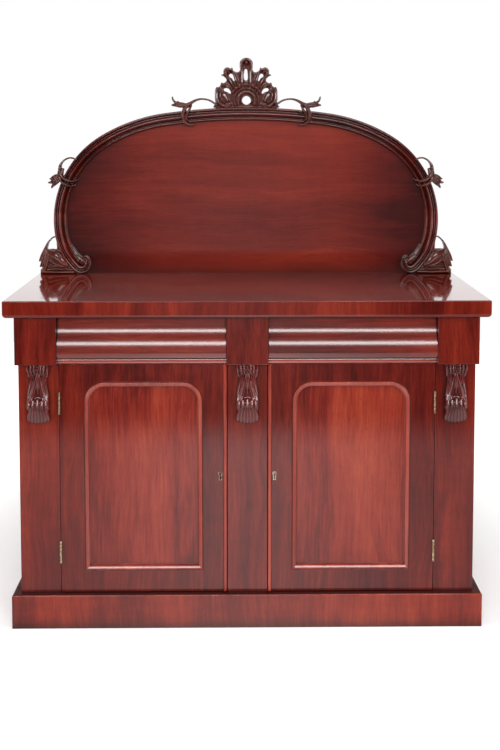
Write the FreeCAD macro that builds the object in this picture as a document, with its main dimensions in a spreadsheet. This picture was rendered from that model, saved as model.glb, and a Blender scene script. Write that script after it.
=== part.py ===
import FreeCAD, Part
import math
import os
import re

import Sketcher

# Chiffonier, in millimetres. Origin on the floor under the middle, front towards -Y, +Z up.

doc = FreeCAD.newDocument("chiffonier")
sizes = doc.addObject("Spreadsheet::Sheet", "sizes")

DRIVING = (
    # overall
    ("top_width", 1220, "table top, end to end"),
    ("top_depth", 480, "table top, front to back"),
    ("top_thickness", 44, "table top edge"),
    ("top_roll", 11, "rounding under the edge of the top"),
    ("top_arris", 2.5, "softened upper edge of the top"),
    ("carcass_height", 804, "floor to the underside of the top"),
    ("top_end_overhang", 30, "top past the carcass sides"),
    ("top_front_overhang", 34, "top past the pilaster faces"),
    ("top_back_overhang", 4, "top past the back boards"),
    # carcass
    ("side_thickness", 20, "carcass sides"),
    ("back_thickness", 10, "back boards"),
    ("back_board_count", 5, "back boards side by side"),
    ("back_board_gap", 1, "shrinkage gap between back boards"),
    ("back_board_lap", 8, "each back board behind the next"),
    ("bottom_thickness", 18, "cupboard bottom"),
    ("rail_thickness", 15, "rail under the drawers"),
    ("rail_depth", 80, "rail behind the pilaster backs"),
    ("rail_nose", 31, "rail forward of the pilaster backs"),
    ("rail_bead", 6, "rounding of the rail's front"),
    ("top_rail_thickness", 14, "rails under the top"),
    ("top_rail_width", 60, "rails under the top"),
    ("divider_thickness", 20, "board between the drawers"),
    ("shelf_thickness", 16, "cupboard shelf"),
    ("shelf_height", 384, "floor to the shelf's underside"),
    ("shelf_setback", 22, "shelf behind the pilaster backs"),
    ("cleat_size", 14, "square section of the shelf cleats"),
    ("board_clearance", 0.5, "loose boards, each end"),
    # pilasters and frieze
    ("pilaster_width", 102, "pilaster faces"),
    ("pilaster_edge", 1.2, "softened pilaster edges"),
    ("frieze_height", 121, "frieze blocks"),
    ("block_projection", 20, "frieze blocks past the pilaster faces"),
    ("block_overlap", 2, "centre block past its pilaster, each side"),
    ("block_side_overhang", 5, "outer blocks past the carcass sides"),
    ("block_edge", 1.5, "softened block edges"),
    # corbels
    ("corbel_width", 57, "carved corbels"),
    ("corbel_height", 153, "carved corbels"),
    ("corbel_head", 17, "corbel depth at the top"),
    ("corbel_waist", 8, "corbel depth at the leaf's waist"),
    ("corbel_scroll", 16, "upright part of the corbel's head"),
    ("corbel_neck", 36, "corbel's top to the leaf's waist"),
    ("corbel_neck_radius", 24, "head turning in to the waist"),
    ("corbel_leaf_radius", 90, "leaf from waist to curled band"),
    ("corbel_knuckle", 19, "corbel depth at the curled band"),
    ("corbel_band", 16, "curled band"),
    ("corbel_band_radius", 9, "curled band"),
    ("corbel_fringe", 11, "corbel depth under the curled band"),
    ("corbel_knuckle_height", 62, "curled band above the corbel's foot"),
    ("corbel_foot", 8, "corbel depth at its foot"),
    # plinth
    ("plinth_height", 87, "plinth"),
    ("plinth_thickness", 30, "plinth side and back boards"),
    ("plinth_lap", 4, "plinth front under the bottom board"),
    ("plinth_front_ledge", 17, "plinth past the pilaster faces"),
    ("plinth_side_ledge", 21, "plinth past the carcass sides"),
    ("plinth_edge", 4, "rounded upper edge of the plinth"),
    # drawers
    ("drawer_gap", 1, "around the drawer fronts"),
    ("drawer_top_gap", 2, "over the drawer fronts"),
    ("drawer_top_setback", 18, "cushion's upper edge behind its bulge"),
    ("drawer_fascia", 17, "upright strip over the cushion's hollow"),
    ("hollow_share", 0.45, "hollow's share of the sweep from strip to bulge"),
    ("bulge_under_radius", 24, "bulge turning under"),
    ("bulge_height", 16, "bulge above the front's lower edge"),
    ("drawer_front_thickness", 34, "cushion front at the bulge"),
    ("drawer_side_thickness", 10, "drawer sides and back"),
    ("drawer_headroom", 7.7, "drawer sides under the rails at the top"),
    ("drawer_side_inset", 2, "drawer sides inside the front's ends"),
    ("drawer_back_gap", 34, "closed drawers in front of the back boards"),
    ("drawer_bottom_thickness", 6, "drawer bottoms"),
    ("drawer_bottom_lift", 8, "drawer bottom above the side's lower edge"),
    ("runner_thickness", 14, "runner boards"),
    ("runner_overlap", 12, "runner under the drawer's inside"),
    ("runner_gap", 0.3, "drawer sides over the runners"),
    ("guide_width", 12, "guide strips"),
    ("guide_height", 16, "guide strips"),
    ("guide_gap", 1, "drawer sides to the guides"),
    # doors
    ("door_gap", 1.2, "around the doors"),
    ("door_thickness", 22, "door frames"),
    ("door_stop_gap", 2, "closed doors in front of the carcass"),
    ("hinge_stile_width", 61, "hinge stiles"),
    ("lock_stile_width", 52, "lock stiles"),
    ("door_top_rail", 46, "top rail over the arch"),
    ("door_bottom_rail", 56, "bottom rail"),
    ("arch_corner_radius", 52, "round upper corners of the panel opening"),
    ("moulding_width", 14.5, "panel moulding"),
    ("moulding_proud", 2, "panel moulding past the frame's face"),
    ("moulding_round", 6, "rounding of the panel moulding"),
    ("panel_setback", 8, "panel behind the frame's face"),
    ("panel_thickness", 8, "door panels"),
    ("panel_tongue", 6, "panel behind the frame, all round"),
    ("panel_clearance", 0.3, "panel edge in its rebate"),
    ("bead_width", 9, "closing bead"),
    ("bead_proud", 2.5, "closing bead past the frame's face"),
    ("bead_round", 4, "rounding of the closing bead"),
    # hinges
    ("hinge_length", 57, "brass butts"),
    ("hinge_inset", 101, "hinge centre from the door's end, upper"),
    ("hinge_inset_low", 106, "hinge centre from the door's end, lower"),
    ("hinge_leaf_width", 16, "leaf from face to edge"),
    ("hinge_leaf", 1.8, "leaf"),
    ("knuckle_radius", 3, "hinge knuckles"),
    ("knuckle_proud", 1.5, "pin axis in front of the door's face"),
    ("knuckle_clearance", 0.3, "around the knuckles"),
    ("pin_radius", 1.3, "hinge pins"),
    ("pin_clearance", 0.05, "pin in the door's knuckles"),
    ("fit_clearance", 0.05, "leaves, dowels and linings in the wood"),
    ("screw_length", 13, "hinge screws"),
    ("screw_radius", 1.3, "hinge screw shanks"),
    ("screw_head_radius", 2.6, "hinge screw heads"),
    ("screw_head", 1, "hinge screw heads"),
    ("screw_count", 3, "screws in each leaf"),
    ("screw_pitch", 19, "screws along a leaf"),
    ("screw_setback", 8.8, "screws behind the door's face"),
    # locks
    ("lock_height", 391, "floor to the lock's middle"),
    ("lock_length", 46, "lock case along the door's width"),
    ("lock_case_height", 50, "lock case"),
    ("lock_case_thickness", 12, "lock case"),
    ("keyhole_backset", 8, "keyhole from the closing bead"),
    ("keyhole_radius", 3.6, "round part of the keyhole"),
    ("keyhole_slot", 4, "width of the keyhole's slot"),
    ("keyhole_drop", 15, "keyhole's round to the slot's end"),
    ("escutcheon_wall", 1.6, "brass lining of the keyhole"),
    ("escutcheon_depth", 4, "brass lining of the keyhole"),
    ("escutcheon_proud", 0.3, "lining past the frame's face"),
    ("bolt_length", 22, "lock bolt"),
    ("bolt_height", 16, "lock bolt"),
    ("bolt_thickness", 5, "lock bolt"),
    ("bolt_travel", 8, "throw of the bolt"),
    ("bolt_setback", 0.5, "drawn bolt behind the door's edge"),
    ("bolt_clearance", 0.3, "bolt in its case"),
    ("strike_clearance", 1, "bolt in the strike"),
    ("strike_plate", 1.2, "strike plate"),
    ("strike_margin", 6, "strike plate around its hole"),
    # backboard
    ("arch_end_inset", 46, "widest part of the arch inside the top's end"),
    ("arch_face", 50, "arch moulding's face in front of the top's back edge"),
    ("arch_moulding_width", 38, "arch moulding"),
    ("arch_moulding_depth", 20, "arch moulding"),
    ("backboard_thickness", 18, "backboard"),
    ("backboard_reveal", 5, "backboard inside the moulding's outline"),
    ("shoulder_radius", 500, "arch beside the crown"),
    ("shoulder_angle", 30.6, "slope where the shoulder ends, degrees"),
    ("crown_lift", 11.6, "crown above the shoulder arcs' top"),
    ("flank_radius", 289, "arch at its sides"),
    ("flank_angle", 97.3, "slope where the flank ends, degrees"),
    ("foot_radius", 192, "arch turning in at the foot"),
    ("foot_angle", 134.3, "slope where the foot ends, degrees"),
    ("scroll_radius", 37.7, "scroll at the end of the arch"),
    ("batten_width", 50, "battens behind the backboard"),
    ("batten_thickness", 12, "battens behind the backboard"),
    ("batten_height", 380, "battens behind the backboard"),
    ("batten_offset", 300, "batten from the middle"),
    ("batten_screw_count", 4, "screws in each batten"),
    ("batten_screw_radius", 2, "batten screws"),
    ("batten_screw_head_radius", 4.2, "batten screws"),
    ("batten_screw_head", 2.4, "batten screws"),
    ("batten_screw_length", 25, "batten screws"),
    ("dowel_radius", 5, "dowels under the backboard"),
    ("dowel_length", 44, "dowels under the backboard"),
    ("dowel_count", 5, "dowels under the backboard"),
    ("dowel_inset", 60, "outer dowel inside the scroll's middle"),
    # carving
    ("crest_thickness", 24, "pierced crest"),
    ("crest_height", 144, "crest above the arch"),
    ("crest_half_width", 92, "crest"),
    ("crest_volute", 21, "radius of the crest's base scrolls"),
    ("leaf_thickness", 12, "leaf carvings"),
    ("ear_thickness", 26, "carved ears"),
    ("ear_height", 74, "block of the carved ears"),
    ("ear_width", 100, "carved ears along the top"),
    ("ear_end_gap", 4, "ear inside the top's end"),
    ("ear_gap", 0.3, "ear to the arch moulding"),
)

for row, (alias, size, note) in enumerate(DRIVING, start=1):
    sizes.set(f"A{row}", note)
    sizes.set(f"B{row}", str(size))
    sizes.setAlias(f"B{row}", alias)
doc.recompute()

ALIASES = {alias for alias, _, _ in DRIVING}
WORD = re.compile(r"[a-z]\w*")


def formula(text):
    """Text with each size's alias pointed at the sheet."""
    return WORD.sub(lambda word: f"sizes.{word[0]}" if word[0] in ALIASES else word[0], str(text))


def number(text):
    """Value of a formula over the sheet."""
    return float(sizes.evalExpression(formula(text)))


# Planes and lines that pieces share, as formulas. X lines are given for the right-hand half.
TOP_FRONT = "(-top_depth / 2)"
TOP_BACK = "(top_depth / 2)"
TOP_SURFACE = "(carcass_height + top_thickness)"
SIDE_OUTER = "(top_width / 2 - top_end_overhang)"
SIDE_INNER = f"({SIDE_OUTER} - side_thickness)"
FACE = f"({TOP_FRONT} + top_front_overhang)"
FACE_BACK = f"({FACE} + door_thickness + door_stop_gap)"
BACK_OUTER = f"({TOP_BACK} - top_back_overhang)"
BACK_INNER = f"({BACK_OUTER} - back_thickness)"
FRIEZE_FOOT = "(carcass_height - frieze_height)"
RAIL_TOP = f"({FRIEZE_FOOT} + rail_thickness)"
TOP_RAIL_FOOT = "(carcass_height - top_rail_thickness)"
BLOCK_FRONT = f"({FACE} - block_projection)"
BLOCK_INNER = "(pilaster_width / 2 + block_overlap)"
BLOCK_OUTER = f"({SIDE_OUTER} - pilaster_width + block_overlap)"
OPENING_INNER = "(pilaster_width / 2)"
OPENING_OUTER = f"({SIDE_OUTER} - pilaster_width)"
PLINTH_FRONT = f"({FACE} - plinth_front_ledge)"
PLINTH_OUTER = f"({SIDE_OUTER} + plinth_side_ledge)"

DOOR_INNER = f"({OPENING_INNER} + door_gap)"
DOOR_OUTER = f"({OPENING_OUTER} - door_gap)"
DOOR_FOOT = "(plinth_height + door_gap)"
DOOR_TOP = f"({FRIEZE_FOOT} - door_gap)"
DOOR_BACK = f"({FACE} + door_thickness)"
BEAD_END = f"({DOOR_INNER} + bead_width)"
PANEL_LEFT = f"({BEAD_END} + lock_stile_width)"
PANEL_RIGHT = f"({DOOR_OUTER} - hinge_stile_width)"
PANEL_FOOT = f"({DOOR_FOOT} + door_bottom_rail)"
PANEL_TOP = f"({DOOR_TOP} - door_top_rail)"
PANEL_FACE = f"({FACE} + panel_setback)"
HINGE_X = f"({OPENING_OUTER} - door_gap / 2)"
HINGE_Y = f"({FACE} - knuckle_proud)"
HINGE_LEVELS = (f"({DOOR_TOP} - hinge_inset)", f"({DOOR_FOOT} + hinge_inset_low)")
CASE_FRONT = f"({DOOR_BACK} - lock_case_thickness)"
BOLT_MIDDLE = f"({DOOR_BACK} - lock_case_thickness / 2)"

DRAWER_LEFT = f"({BLOCK_INNER} + drawer_gap)"
DRAWER_RIGHT = f"({BLOCK_OUTER} - drawer_gap)"
DRAWER_FOOT = f"({RAIL_TOP} + drawer_gap)"
DRAWER_TOP = "(carcass_height - drawer_top_gap)"
DRAWER_BACK = f"({BLOCK_FRONT} + drawer_front_thickness)"
BOX_LEFT = f"({DRAWER_LEFT} + drawer_side_inset)"
BOX_RIGHT = f"({DRAWER_RIGHT} - drawer_side_inset)"
BOX_FOOT = f"({RAIL_TOP} + runner_gap)"
BOX_BACK = f"({BACK_INNER} - drawer_back_gap)"
BOX_TOP = f"({TOP_RAIL_FOOT} - drawer_headroom)"

ARCH_FRONT = f"({TOP_BACK} - arch_face)"
BACKBOARD_FRONT = f"({ARCH_FRONT} + arch_moulding_depth)"
BACKBOARD_BACK = f"({BACKBOARD_FRONT} + backboard_thickness)"
ARCH_HALF_WIDTH = "(top_width / 2 - arch_end_inset)"

SIDES = (("left", -1), ("right", 1))


def span(side, low, high):
    """A stretch along X on one side of the middle."""
    return (low, high) if side > 0 else (f"-{high}", f"-{low}")


def bind(thing, **formulas):
    for name, text in formulas.items():
        thing.setExpression(name, formula(text))


def place(thing, x=0, y=0, z=0):
    for axis, text in zip("xyz", (x, y, z)):
        thing.setExpression(f"Placement.Base.{axis}", formula(text))


def board(label, x, y, z):
    """A rectangular board between two planes along each axis."""
    box = doc.addObject("Part::Box", label)
    box.Label = label
    bind(box, Length=f"{x[1]} - ({x[0]})", Width=f"{y[1]} - ({y[0]})", Height=f"{z[1]} - ({z[0]})")
    place(box, x[0], y[0], z[0])
    return box


def solid(label, shape):
    """A piece whose shape is worked out here from the sheet."""
    piece = doc.addObject("Part::Feature", label)
    piece.Label = label
    piece.Shape = shape
    return piece


def cut(label, base, shape):
    """A piece with a shape taken out of it."""
    tool = solid(f"{label}_cutter", shape)
    piece = doc.addObject("Part::Cut", label)
    piece.Label = label
    piece.Base = base
    piece.Tool = tool
    return piece


def group(label, members):
    """Separate solids that share one node."""
    node = doc.addObject("Part::Compound", label)
    node.Label = label
    node.Links = members
    return node


def block(x, y, z):
    """Shape of a rectangular block between planes that are formulas."""
    low = FreeCAD.Vector(number(x[0]), number(y[0]), number(z[0]))
    high = FreeCAD.Vector(number(x[1]), number(y[1]), number(z[1]))
    return Part.makeBox(*(high - low), low)


def edges_where(shape, test, direction=None):
    """Numbers of the edges whose ends all pass the test, along one axis or along any."""
    return [
        index
        for index, edge in enumerate(shape.Edges, start=1)
        if all(test(vertex.Point) for vertex in edge.Vertexes)
        and (direction is None or abs(getattr(edge.tangentAt(edge.FirstParameter), direction)) > 0.99)
    ]


def rounded(label, base, radius, test, direction=None):
    """A piece with some of its edges rounded."""
    doc.recompute()
    piece = doc.addObject("Part::Fillet", label)
    piece.Label = label
    piece.Base = base
    size = number(radius)
    piece.Edges = [(index, size, size) for index in edges_where(base.Shape, test, direction)]
    return piece


def near(value, target):
    return abs(value - target) < 1e-4


def outline(body, name, plane, corners, arcs):
    """A closed sketch through corners given as formulas. An arc from a corner to the next has a
    radius and a turn, 1 to the left and -1 to the right."""
    sketch = body.newObject("Sketcher::SketchObject", name)
    origin_plane = next(p for p in body.Origin.OriginFeatures if p.Role == plane)
    sketch.AttachmentSupport = [(origin_plane, "")]
    sketch.MapMode = "FlatFace"
    points = [FreeCAD.Vector(number(a), number(b), 0) for a, b in corners]
    ends = []
    for index, start in enumerate(points):
        end = points[(index + 1) % len(points)]
        if index not in arcs:
            sketch.addGeometry(Part.LineSegment(start, end), False)
            ends.append((1, 2))
            continue
        radius, turn = arcs[index]
        reach = number(radius)
        half = (end - start) * 0.5
        left = FreeCAD.Vector(-half.y, half.x, 0) / half.Length
        centre = start + half + left * turn * math.sqrt(reach**2 - half.Length**2)
        first, last = (start, end) if turn > 0 else (end, start)
        begin = math.atan2(first.y - centre.y, first.x - centre.x)
        sweep = (math.atan2(last.y - centre.y, last.x - centre.x) - begin) % (2 * math.pi)
        circle = Part.Circle(centre, FreeCAD.Vector(0, 0, 1), reach)
        sketch.addGeometry(Part.ArcOfCircle(circle, begin, begin + sweep), False)
        ends.append((1, 2) if turn > 0 else (2, 1))
    for index, (across, up) in enumerate(corners):
        following = (index + 1) % len(points)
        sketch.addConstraint(
            Sketcher.Constraint("Coincident", index, ends[index][1], following, ends[following][0])
        )
        for kind, text in (("DistanceX", across), ("DistanceY", up)):
            number_of = sketch.addConstraint(
                Sketcher.Constraint(kind, -1, 1, index, ends[index][0], number(text))
            )
            sketch.setExpression(f"Constraints[{number_of}]", formula(text))
        if index in arcs:
            number_of = sketch.addConstraint(
                Sketcher.Constraint("Radius", index, number(arcs[index][0]))
            )
            sketch.setExpression(f"Constraints[{number_of}]", formula(arcs[index][0]))
    return sketch


def new_body(label):
    body = doc.addObject("PartDesign::Body", label)
    body.Label = label
    return body


def pad(body, sketch, length):
    feature = body.newObject("PartDesign::Pad", f"{body.Name}_pad")
    feature.Profile = sketch
    bind(feature, Length=length)
    doc.recompute()
    return feature


def soften(body, feature, radius, test):
    """Rounds edges of a body's last feature that pass the test."""
    fillet = body.newObject("PartDesign::Fillet", f"{body.Name}_fillet")
    fillet.Base = (feature, [f"Edge{index}" for index in edges_where(feature.Shape, test)])
    bind(fillet, Radius=radius)
    doc.recompute()
    return fillet


# Table top: one board with a roll under its front and end edges.


def make_table_top():
    body = new_body("table_top_board")
    half_width = "(top_width / 2)"
    corners = (
        (f"-{half_width}", TOP_FRONT),
        (half_width, TOP_FRONT),
        (half_width, TOP_BACK),
        (f"-{half_width}", TOP_BACK),
    )
    sketch = outline(body, "table_top_outline", "XY_Plane", corners, {})
    slab = pad(body, sketch, "top_thickness")
    side, front = number(half_width), number(TOP_FRONT)

    def on_shown_edge(point):
        return near(point.y, front) or near(abs(point.x), side)

    under = soften(
        body,
        slab,
        "min(top_roll; top_thickness - top_arris - 1)",
        lambda point: near(point.z, 0) and on_shown_edge(point),
    )
    thickness = number("top_thickness")
    soften(
        body,
        under,
        "top_arris",
        lambda point: near(point.z, thickness) and on_shown_edge(point),
    )
    place(body, z="carcass_height")
    return cut("table_top", body, Part.makeCompound(dowel_shapes(number("fit_clearance"))))


# Carcass: sides, bottom, back boards, rails and the shelf on its cleats.


def make_back_boards():
    """Upright boards, each rebated and lapped behind the next, so that no gap goes right through."""
    count = int(number("back_board_count"))
    pitch = f"((2 * {SIDE_INNER} + back_board_gap) / back_board_count)"
    lap_plane = f"({BACK_INNER} + back_thickness / 2)"
    height = ("plinth_height", "carcass_height")
    boards = []
    for index in range(count):
        left = f"(-{SIDE_INNER} + {index} * {pitch})"
        right = f"({left} + {pitch} - back_board_gap)"
        rear_left = left if index == 0 else f"({left} + back_board_lap + back_board_gap)"
        rear_right = right if index == count - 1 else f"({right} + back_board_gap + back_board_lap)"
        lapped = doc.addObject("Part::MultiFuse", f"back_board_{index + 1}")
        lapped.Shapes = [
            board(f"back_board_{index + 1}_inner", (left, right), (BACK_INNER, lap_plane), height),
            board(f"back_board_{index + 1}_outer", (rear_left, rear_right), (lap_plane, BACK_OUTER), height),
        ]
        lapped.Refine = True
        boards.append(lapped)
    return group("back_boards", boards)


def make_carcass():
    between_sides = (f"-{SIDE_INNER}", SIDE_INNER)
    nodes = []
    for name, side in SIDES:
        nodes.append(
            board(
                f"{name}_side",
                span(side, SIDE_INNER, SIDE_OUTER),
                (FACE_BACK, BACK_OUTER),
                ("plinth_height", "carcass_height"),
            )
        )
    nodes.append(
        board(
            "bottom_board",
            between_sides,
            (FACE_BACK, BACK_INNER),
            ("plinth_height", "plinth_height + bottom_thickness"),
        )
    )
    nodes.append(make_back_boards())
    under_top = (TOP_RAIL_FOOT, "carcass_height")
    front_rail = board(
        "front_top_rail", between_sides, (FACE_BACK, f"({FACE_BACK} + top_rail_width)"), under_top
    )
    back_rail = board(
        "back_top_rail", between_sides, (f"({BACK_INNER} - top_rail_width)", BACK_INNER), under_top
    )
    nodes.append(group("top_rails", [front_rail, back_rail]))
    shelf_back = f"({BACK_INNER} - board_clearance)"
    shelf_front = f"({FACE_BACK} + shelf_setback)"
    shelf_side = f"({SIDE_INNER} - board_clearance)"
    nodes.append(
        board(
            "shelf",
            (f"-{shelf_side}", shelf_side),
            (shelf_front, shelf_back),
            ("shelf_height", "shelf_height + shelf_thickness"),
        )
    )
    cleat_level = ("(shelf_height - cleat_size)", "shelf_height")
    cleats = [
        board(
            f"{name}_shelf_cleat",
            span(side, f"({SIDE_INNER} - cleat_size)", SIDE_INNER),
            (shelf_front, f"({BACK_INNER} - cleat_size)"),
            cleat_level,
        )
        for name, side in SIDES
    ]
    cleats.append(
        board("back_shelf_cleat", between_sides, (f"({BACK_INNER} - cleat_size)", BACK_INNER), cleat_level)
    )
    nodes.append(group("shelf_cleats", cleats))
    return nodes


def make_drawer_rail():
    """Rail under the drawers, with a rounded nose between the frieze blocks."""
    level = (FRIEZE_FOOT, RAIL_TOP)
    between_sides = (f"-{SIDE_INNER}", SIDE_INNER)
    main = board("rail_board", between_sides, (FACE_BACK, f"({FACE_BACK} + rail_depth)"), level)
    nose_front = f"({FACE_BACK} - rail_nose)"
    front = number(nose_front)
    noses = [
        rounded(
            f"{name}_rail_nose",
            board(
                f"{name}_rail_strip", span(side, BLOCK_INNER, BLOCK_OUTER), (nose_front, FACE_BACK), level
            ),
            "min(rail_bead; rail_thickness * 0.45)",
            lambda point: near(point.y, front),
            "x",
        )
        for name, side in SIDES
    ]
    rail = doc.addObject("Part::MultiFuse", "drawer_rail")
    rail.Label = "drawer_rail"
    rail.Shapes = [main, *noses]
    return rail


def make_drawer_seats():
    """Divider between the drawers, and the runners and guides that the drawers slide on."""
    divider_side = "(divider_thickness / 2)"
    nodes = [
        board(
            "drawer_divider",
            (f"-{divider_side}", divider_side),
            (FACE_BACK, BACK_INNER),
            (RAIL_TOP, TOP_RAIL_FOOT),
        )
    ]
    front = f"({FACE_BACK} + rail_depth)"
    runner_level = (f"({RAIL_TOP} - runner_thickness)", RAIL_TOP)
    guide_level = (RAIL_TOP, f"({RAIL_TOP} + guide_height)")
    side_width = "drawer_side_thickness + runner_overlap"
    stretches = (
        ("inner", "0.5", f"({BOX_LEFT} + {side_width})"),
        ("outer", f"({BOX_RIGHT} - ({side_width}))", SIDE_INNER),
    )
    guides = (
        ("inner", f"({BOX_LEFT} - guide_gap - guide_width)", f"({BOX_LEFT} - guide_gap)"),
        ("outer", f"({BOX_RIGHT} + guide_gap)", f"({BOX_RIGHT} + guide_gap + guide_width)"),
    )
    members = []
    for name, side in SIDES:
        for part, low, high in stretches:
            members.append(
                board(f"{name}_{part}_runner", span(side, low, high), (front, BACK_INNER), runner_level)
            )
        for part, low, high in guides:
            members.append(
                board(f"{name}_{part}_guide", span(side, low, high), (front, BACK_INNER), guide_level)
            )
    nodes.append(group("drawer_runners", members))
    return nodes


# Pilasters, frieze blocks and corbels across the front.


def hinge_recess(side):
    """Room for one hinge's leaf and knuckle in the wood, on both sides of the door gap."""
    shapes = []
    clearance = number("fit_clearance")
    for level in HINGE_LEVELS:
        foot = f"({level} - hinge_length / 2 - fit_clearance)"
        head = f"({level} + hinge_length / 2 + fit_clearance)"
        for leaf_low, leaf_high in (
            (f"({DOOR_OUTER} - hinge_leaf)", DOOR_OUTER),
            (OPENING_OUTER, f"({OPENING_OUTER} + hinge_leaf)"),
        ):
            shapes.append(
                block(
                    span(side, leaf_low, leaf_high),
                    (f"({FACE} - 1)", f"({FACE} + hinge_leaf_width + fit_clearance)"),
                    (foot, head),
                )
            )
        shapes.append(
            Part.makeCylinder(
                number("knuckle_radius + knuckle_clearance"),
                number("hinge_length") + 2 * clearance,
                FreeCAD.Vector(side * number(HINGE_X), number(HINGE_Y), number(foot)),
            )
        )
    return shapes[0].fuse(shapes[1:])


def screw(head_at, direction, clearance=0):
    """A countersunk screw whose head lies flush at a point."""
    head = Part.makeCylinder(
        number("screw_head_radius") + clearance, number("screw_head") + clearance, head_at, direction
    )
    shank = Part.makeCylinder(
        number("screw_radius") + clearance, number("screw_length") + clearance, head_at, direction
    )
    return head.fuse(shank).removeSplitter()


def leaf_screws(side, into_frame, clearance=0):
    """Screws of the leaves on one side of the door gap, at both hinges."""
    direction = FreeCAD.Vector(side if into_frame else -side, 0, 0)
    x = side * number(OPENING_OUTER if into_frame else DOOR_OUTER)
    y = number(f"{FACE} + screw_setback")
    middle = (number("screw_count") - 1) / 2
    return [
        screw(
            FreeCAD.Vector(x, y, number(level) + (index - middle) * number("screw_pitch")),
            direction,
            clearance,
        )
        for level in HINGE_LEVELS
        for index in range(int(number("screw_count")))
    ]


KNUCKLES = 5


def hinge_leaf(side, into_frame, level):
    """One leaf with its share of the knuckles. The frame's leaf also holds the pin."""
    length = number("hinge_length")
    foot = number(level) - length / 2
    x, y = side * number(HINGE_X), number(HINGE_Y)
    pitch = length / KNUCKLES
    play = number("knuckle_clearance") / 2
    plate_x = (
        (OPENING_OUTER, f"({OPENING_OUTER} + hinge_leaf)")
        if into_frame
        else (f"({DOOR_OUTER} - hinge_leaf)", DOOR_OUTER)
    )
    plate = block(
        span(side, *plate_x),
        (f"({FACE} - knuckle_proud / 2)", f"({FACE} + hinge_leaf_width)"),
        (f"({level} - hinge_length / 2)", f"({level} + hinge_length / 2)"),
    )
    for index in range(KNUCKLES):
        own = (index % 2 == 0) == into_frame
        radius = number("knuckle_radius")
        bottom = foot + index * pitch
        if own:
            barrel = Part.makeCylinder(radius, pitch - play, FreeCAD.Vector(x, y, bottom + play / 2))
            plate = plate.fuse(barrel)
        else:
            room = Part.makeCylinder(
                radius + number("knuckle_clearance"),
                pitch + play,
                FreeCAD.Vector(x, y, bottom - play / 2),
            )
            plate = plate.cut(room)
    if into_frame:
        pin = Part.makeCylinder(number("pin_radius"), length, FreeCAD.Vector(x, y, foot))
        plate = plate.fuse(pin)
    else:
        bore = Part.makeCylinder(
            number("pin_radius + pin_clearance"), length + 2, FreeCAD.Vector(x, y, foot - 1)
        )
        plate = plate.cut(bore)
    return plate.removeSplitter()


def strike_hole(side, into="bolt_travel"):
    """Where the thrown bolt goes in the centre pilaster."""
    return block(
        span(side, f"({OPENING_INNER} - {into})", f"({OPENING_INNER} + 1)"),
        (
            f"({BOLT_MIDDLE} - bolt_thickness / 2 - strike_clearance)",
            f"({BOLT_MIDDLE} + bolt_thickness / 2 + strike_clearance)",
        ),
        (
            "(lock_height - bolt_height / 2 - strike_clearance)",
            "(lock_height + bolt_height / 2 + strike_clearance)",
        ),
    )


def strike_seat(side):
    """Brass plate around the strike hole, let in flush with the pilaster's edge."""
    return block(
        span(side, f"({OPENING_INNER} - strike_plate)", OPENING_INNER),
        (
            f"({BOLT_MIDDLE} - bolt_thickness / 2 - strike_margin / 2)",
            f"({BOLT_MIDDLE} + bolt_thickness / 2 + strike_margin / 2)",
        ),
        (
            "(lock_height - bolt_height / 2 - strike_margin)",
            "(lock_height + bolt_height / 2 + strike_margin)",
        ),
    )


def pilaster(label, x, cutter):
    """One pilaster with its front edges softened and its fittings let in."""
    strip = board(f"{label}_strip", x, (FACE, FACE_BACK), ("plinth_height", FRIEZE_FOOT))
    front = number(FACE)
    soft = rounded(f"{label}_soft", strip, "pilaster_edge", lambda point: near(point.y, front), "z")
    return cut(label, soft, cutter)


def make_pilasters():
    nodes = []
    centre = (f"-{OPENING_INNER}", OPENING_INNER)
    strikes = [strike_hole(side).fuse(strike_seat(side)) for _, side in SIDES]
    nodes.append(pilaster("centre_pilaster", centre, Part.makeCompound(strikes)))
    plates = [strike_seat(side).cut(strike_hole(side)) for _, side in SIDES]
    nodes.append(solid("strike_plates", Part.makeCompound(plates)))
    for name, side in SIDES:
        fittings = hinge_recess(side).fuse(leaf_screws(side, True, number("pin_clearance")))
        edge = span(side, OPENING_OUTER, SIDE_OUTER)
        nodes.append(pilaster(f"{name}_pilaster", edge, fittings))
    return nodes


def make_frieze_blocks():
    """Blocks over the pilasters, up to the table top."""
    level = (FRIEZE_FOOT, "carcass_height")
    front = number(BLOCK_FRONT)
    stretches = {
        "centre_frieze_block": (f"-{BLOCK_INNER}", BLOCK_INNER),
        "left_frieze_block": span(-1, BLOCK_OUTER, f"({SIDE_OUTER} + block_side_overhang)"),
        "right_frieze_block": span(1, BLOCK_OUTER, f"({SIDE_OUTER} + block_side_overhang)"),
    }
    members = [
        rounded(
            name,
            board(f"{name}_blank", x, (BLOCK_FRONT, FACE_BACK), level),
            "block_edge",
            lambda point: near(point.y, front),
        )
        for name, x in stretches.items()
    ]
    return group("frieze_blocks", members)


def make_corbel(label, middle):
    """A corbel's block: a scroll head, a leaf drawn in to its waist, a curled band and a fringe."""
    body = new_body(label)
    band_top = "corbel_knuckle_height + corbel_band / 2"
    band_foot = "corbel_knuckle_height - corbel_band / 2"
    corners = (
        ("0", "0"),
        ("0", "corbel_height"),
        ("-corbel_head", "corbel_height"),
        ("-corbel_head", "corbel_height - corbel_scroll"),
        ("-corbel_waist", "corbel_height - corbel_neck"),
        ("-corbel_knuckle", band_top),
        ("-corbel_knuckle", band_foot),
        ("-corbel_fringe", f"{band_foot} - corbel_band / 2"),
        ("-corbel_foot", "0"),
    )
    arcs = {3: ("corbel_neck_radius", 1), 4: ("corbel_leaf_radius", -1), 5: ("corbel_band_radius", 1)}
    pad(body, outline(body, f"{label}_profile", "YZ_Plane", corners, arcs), "corbel_width")
    place(body, f"{middle} - corbel_width / 2", FACE, f"{FRIEZE_FOOT} - corbel_height")
    return body


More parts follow.
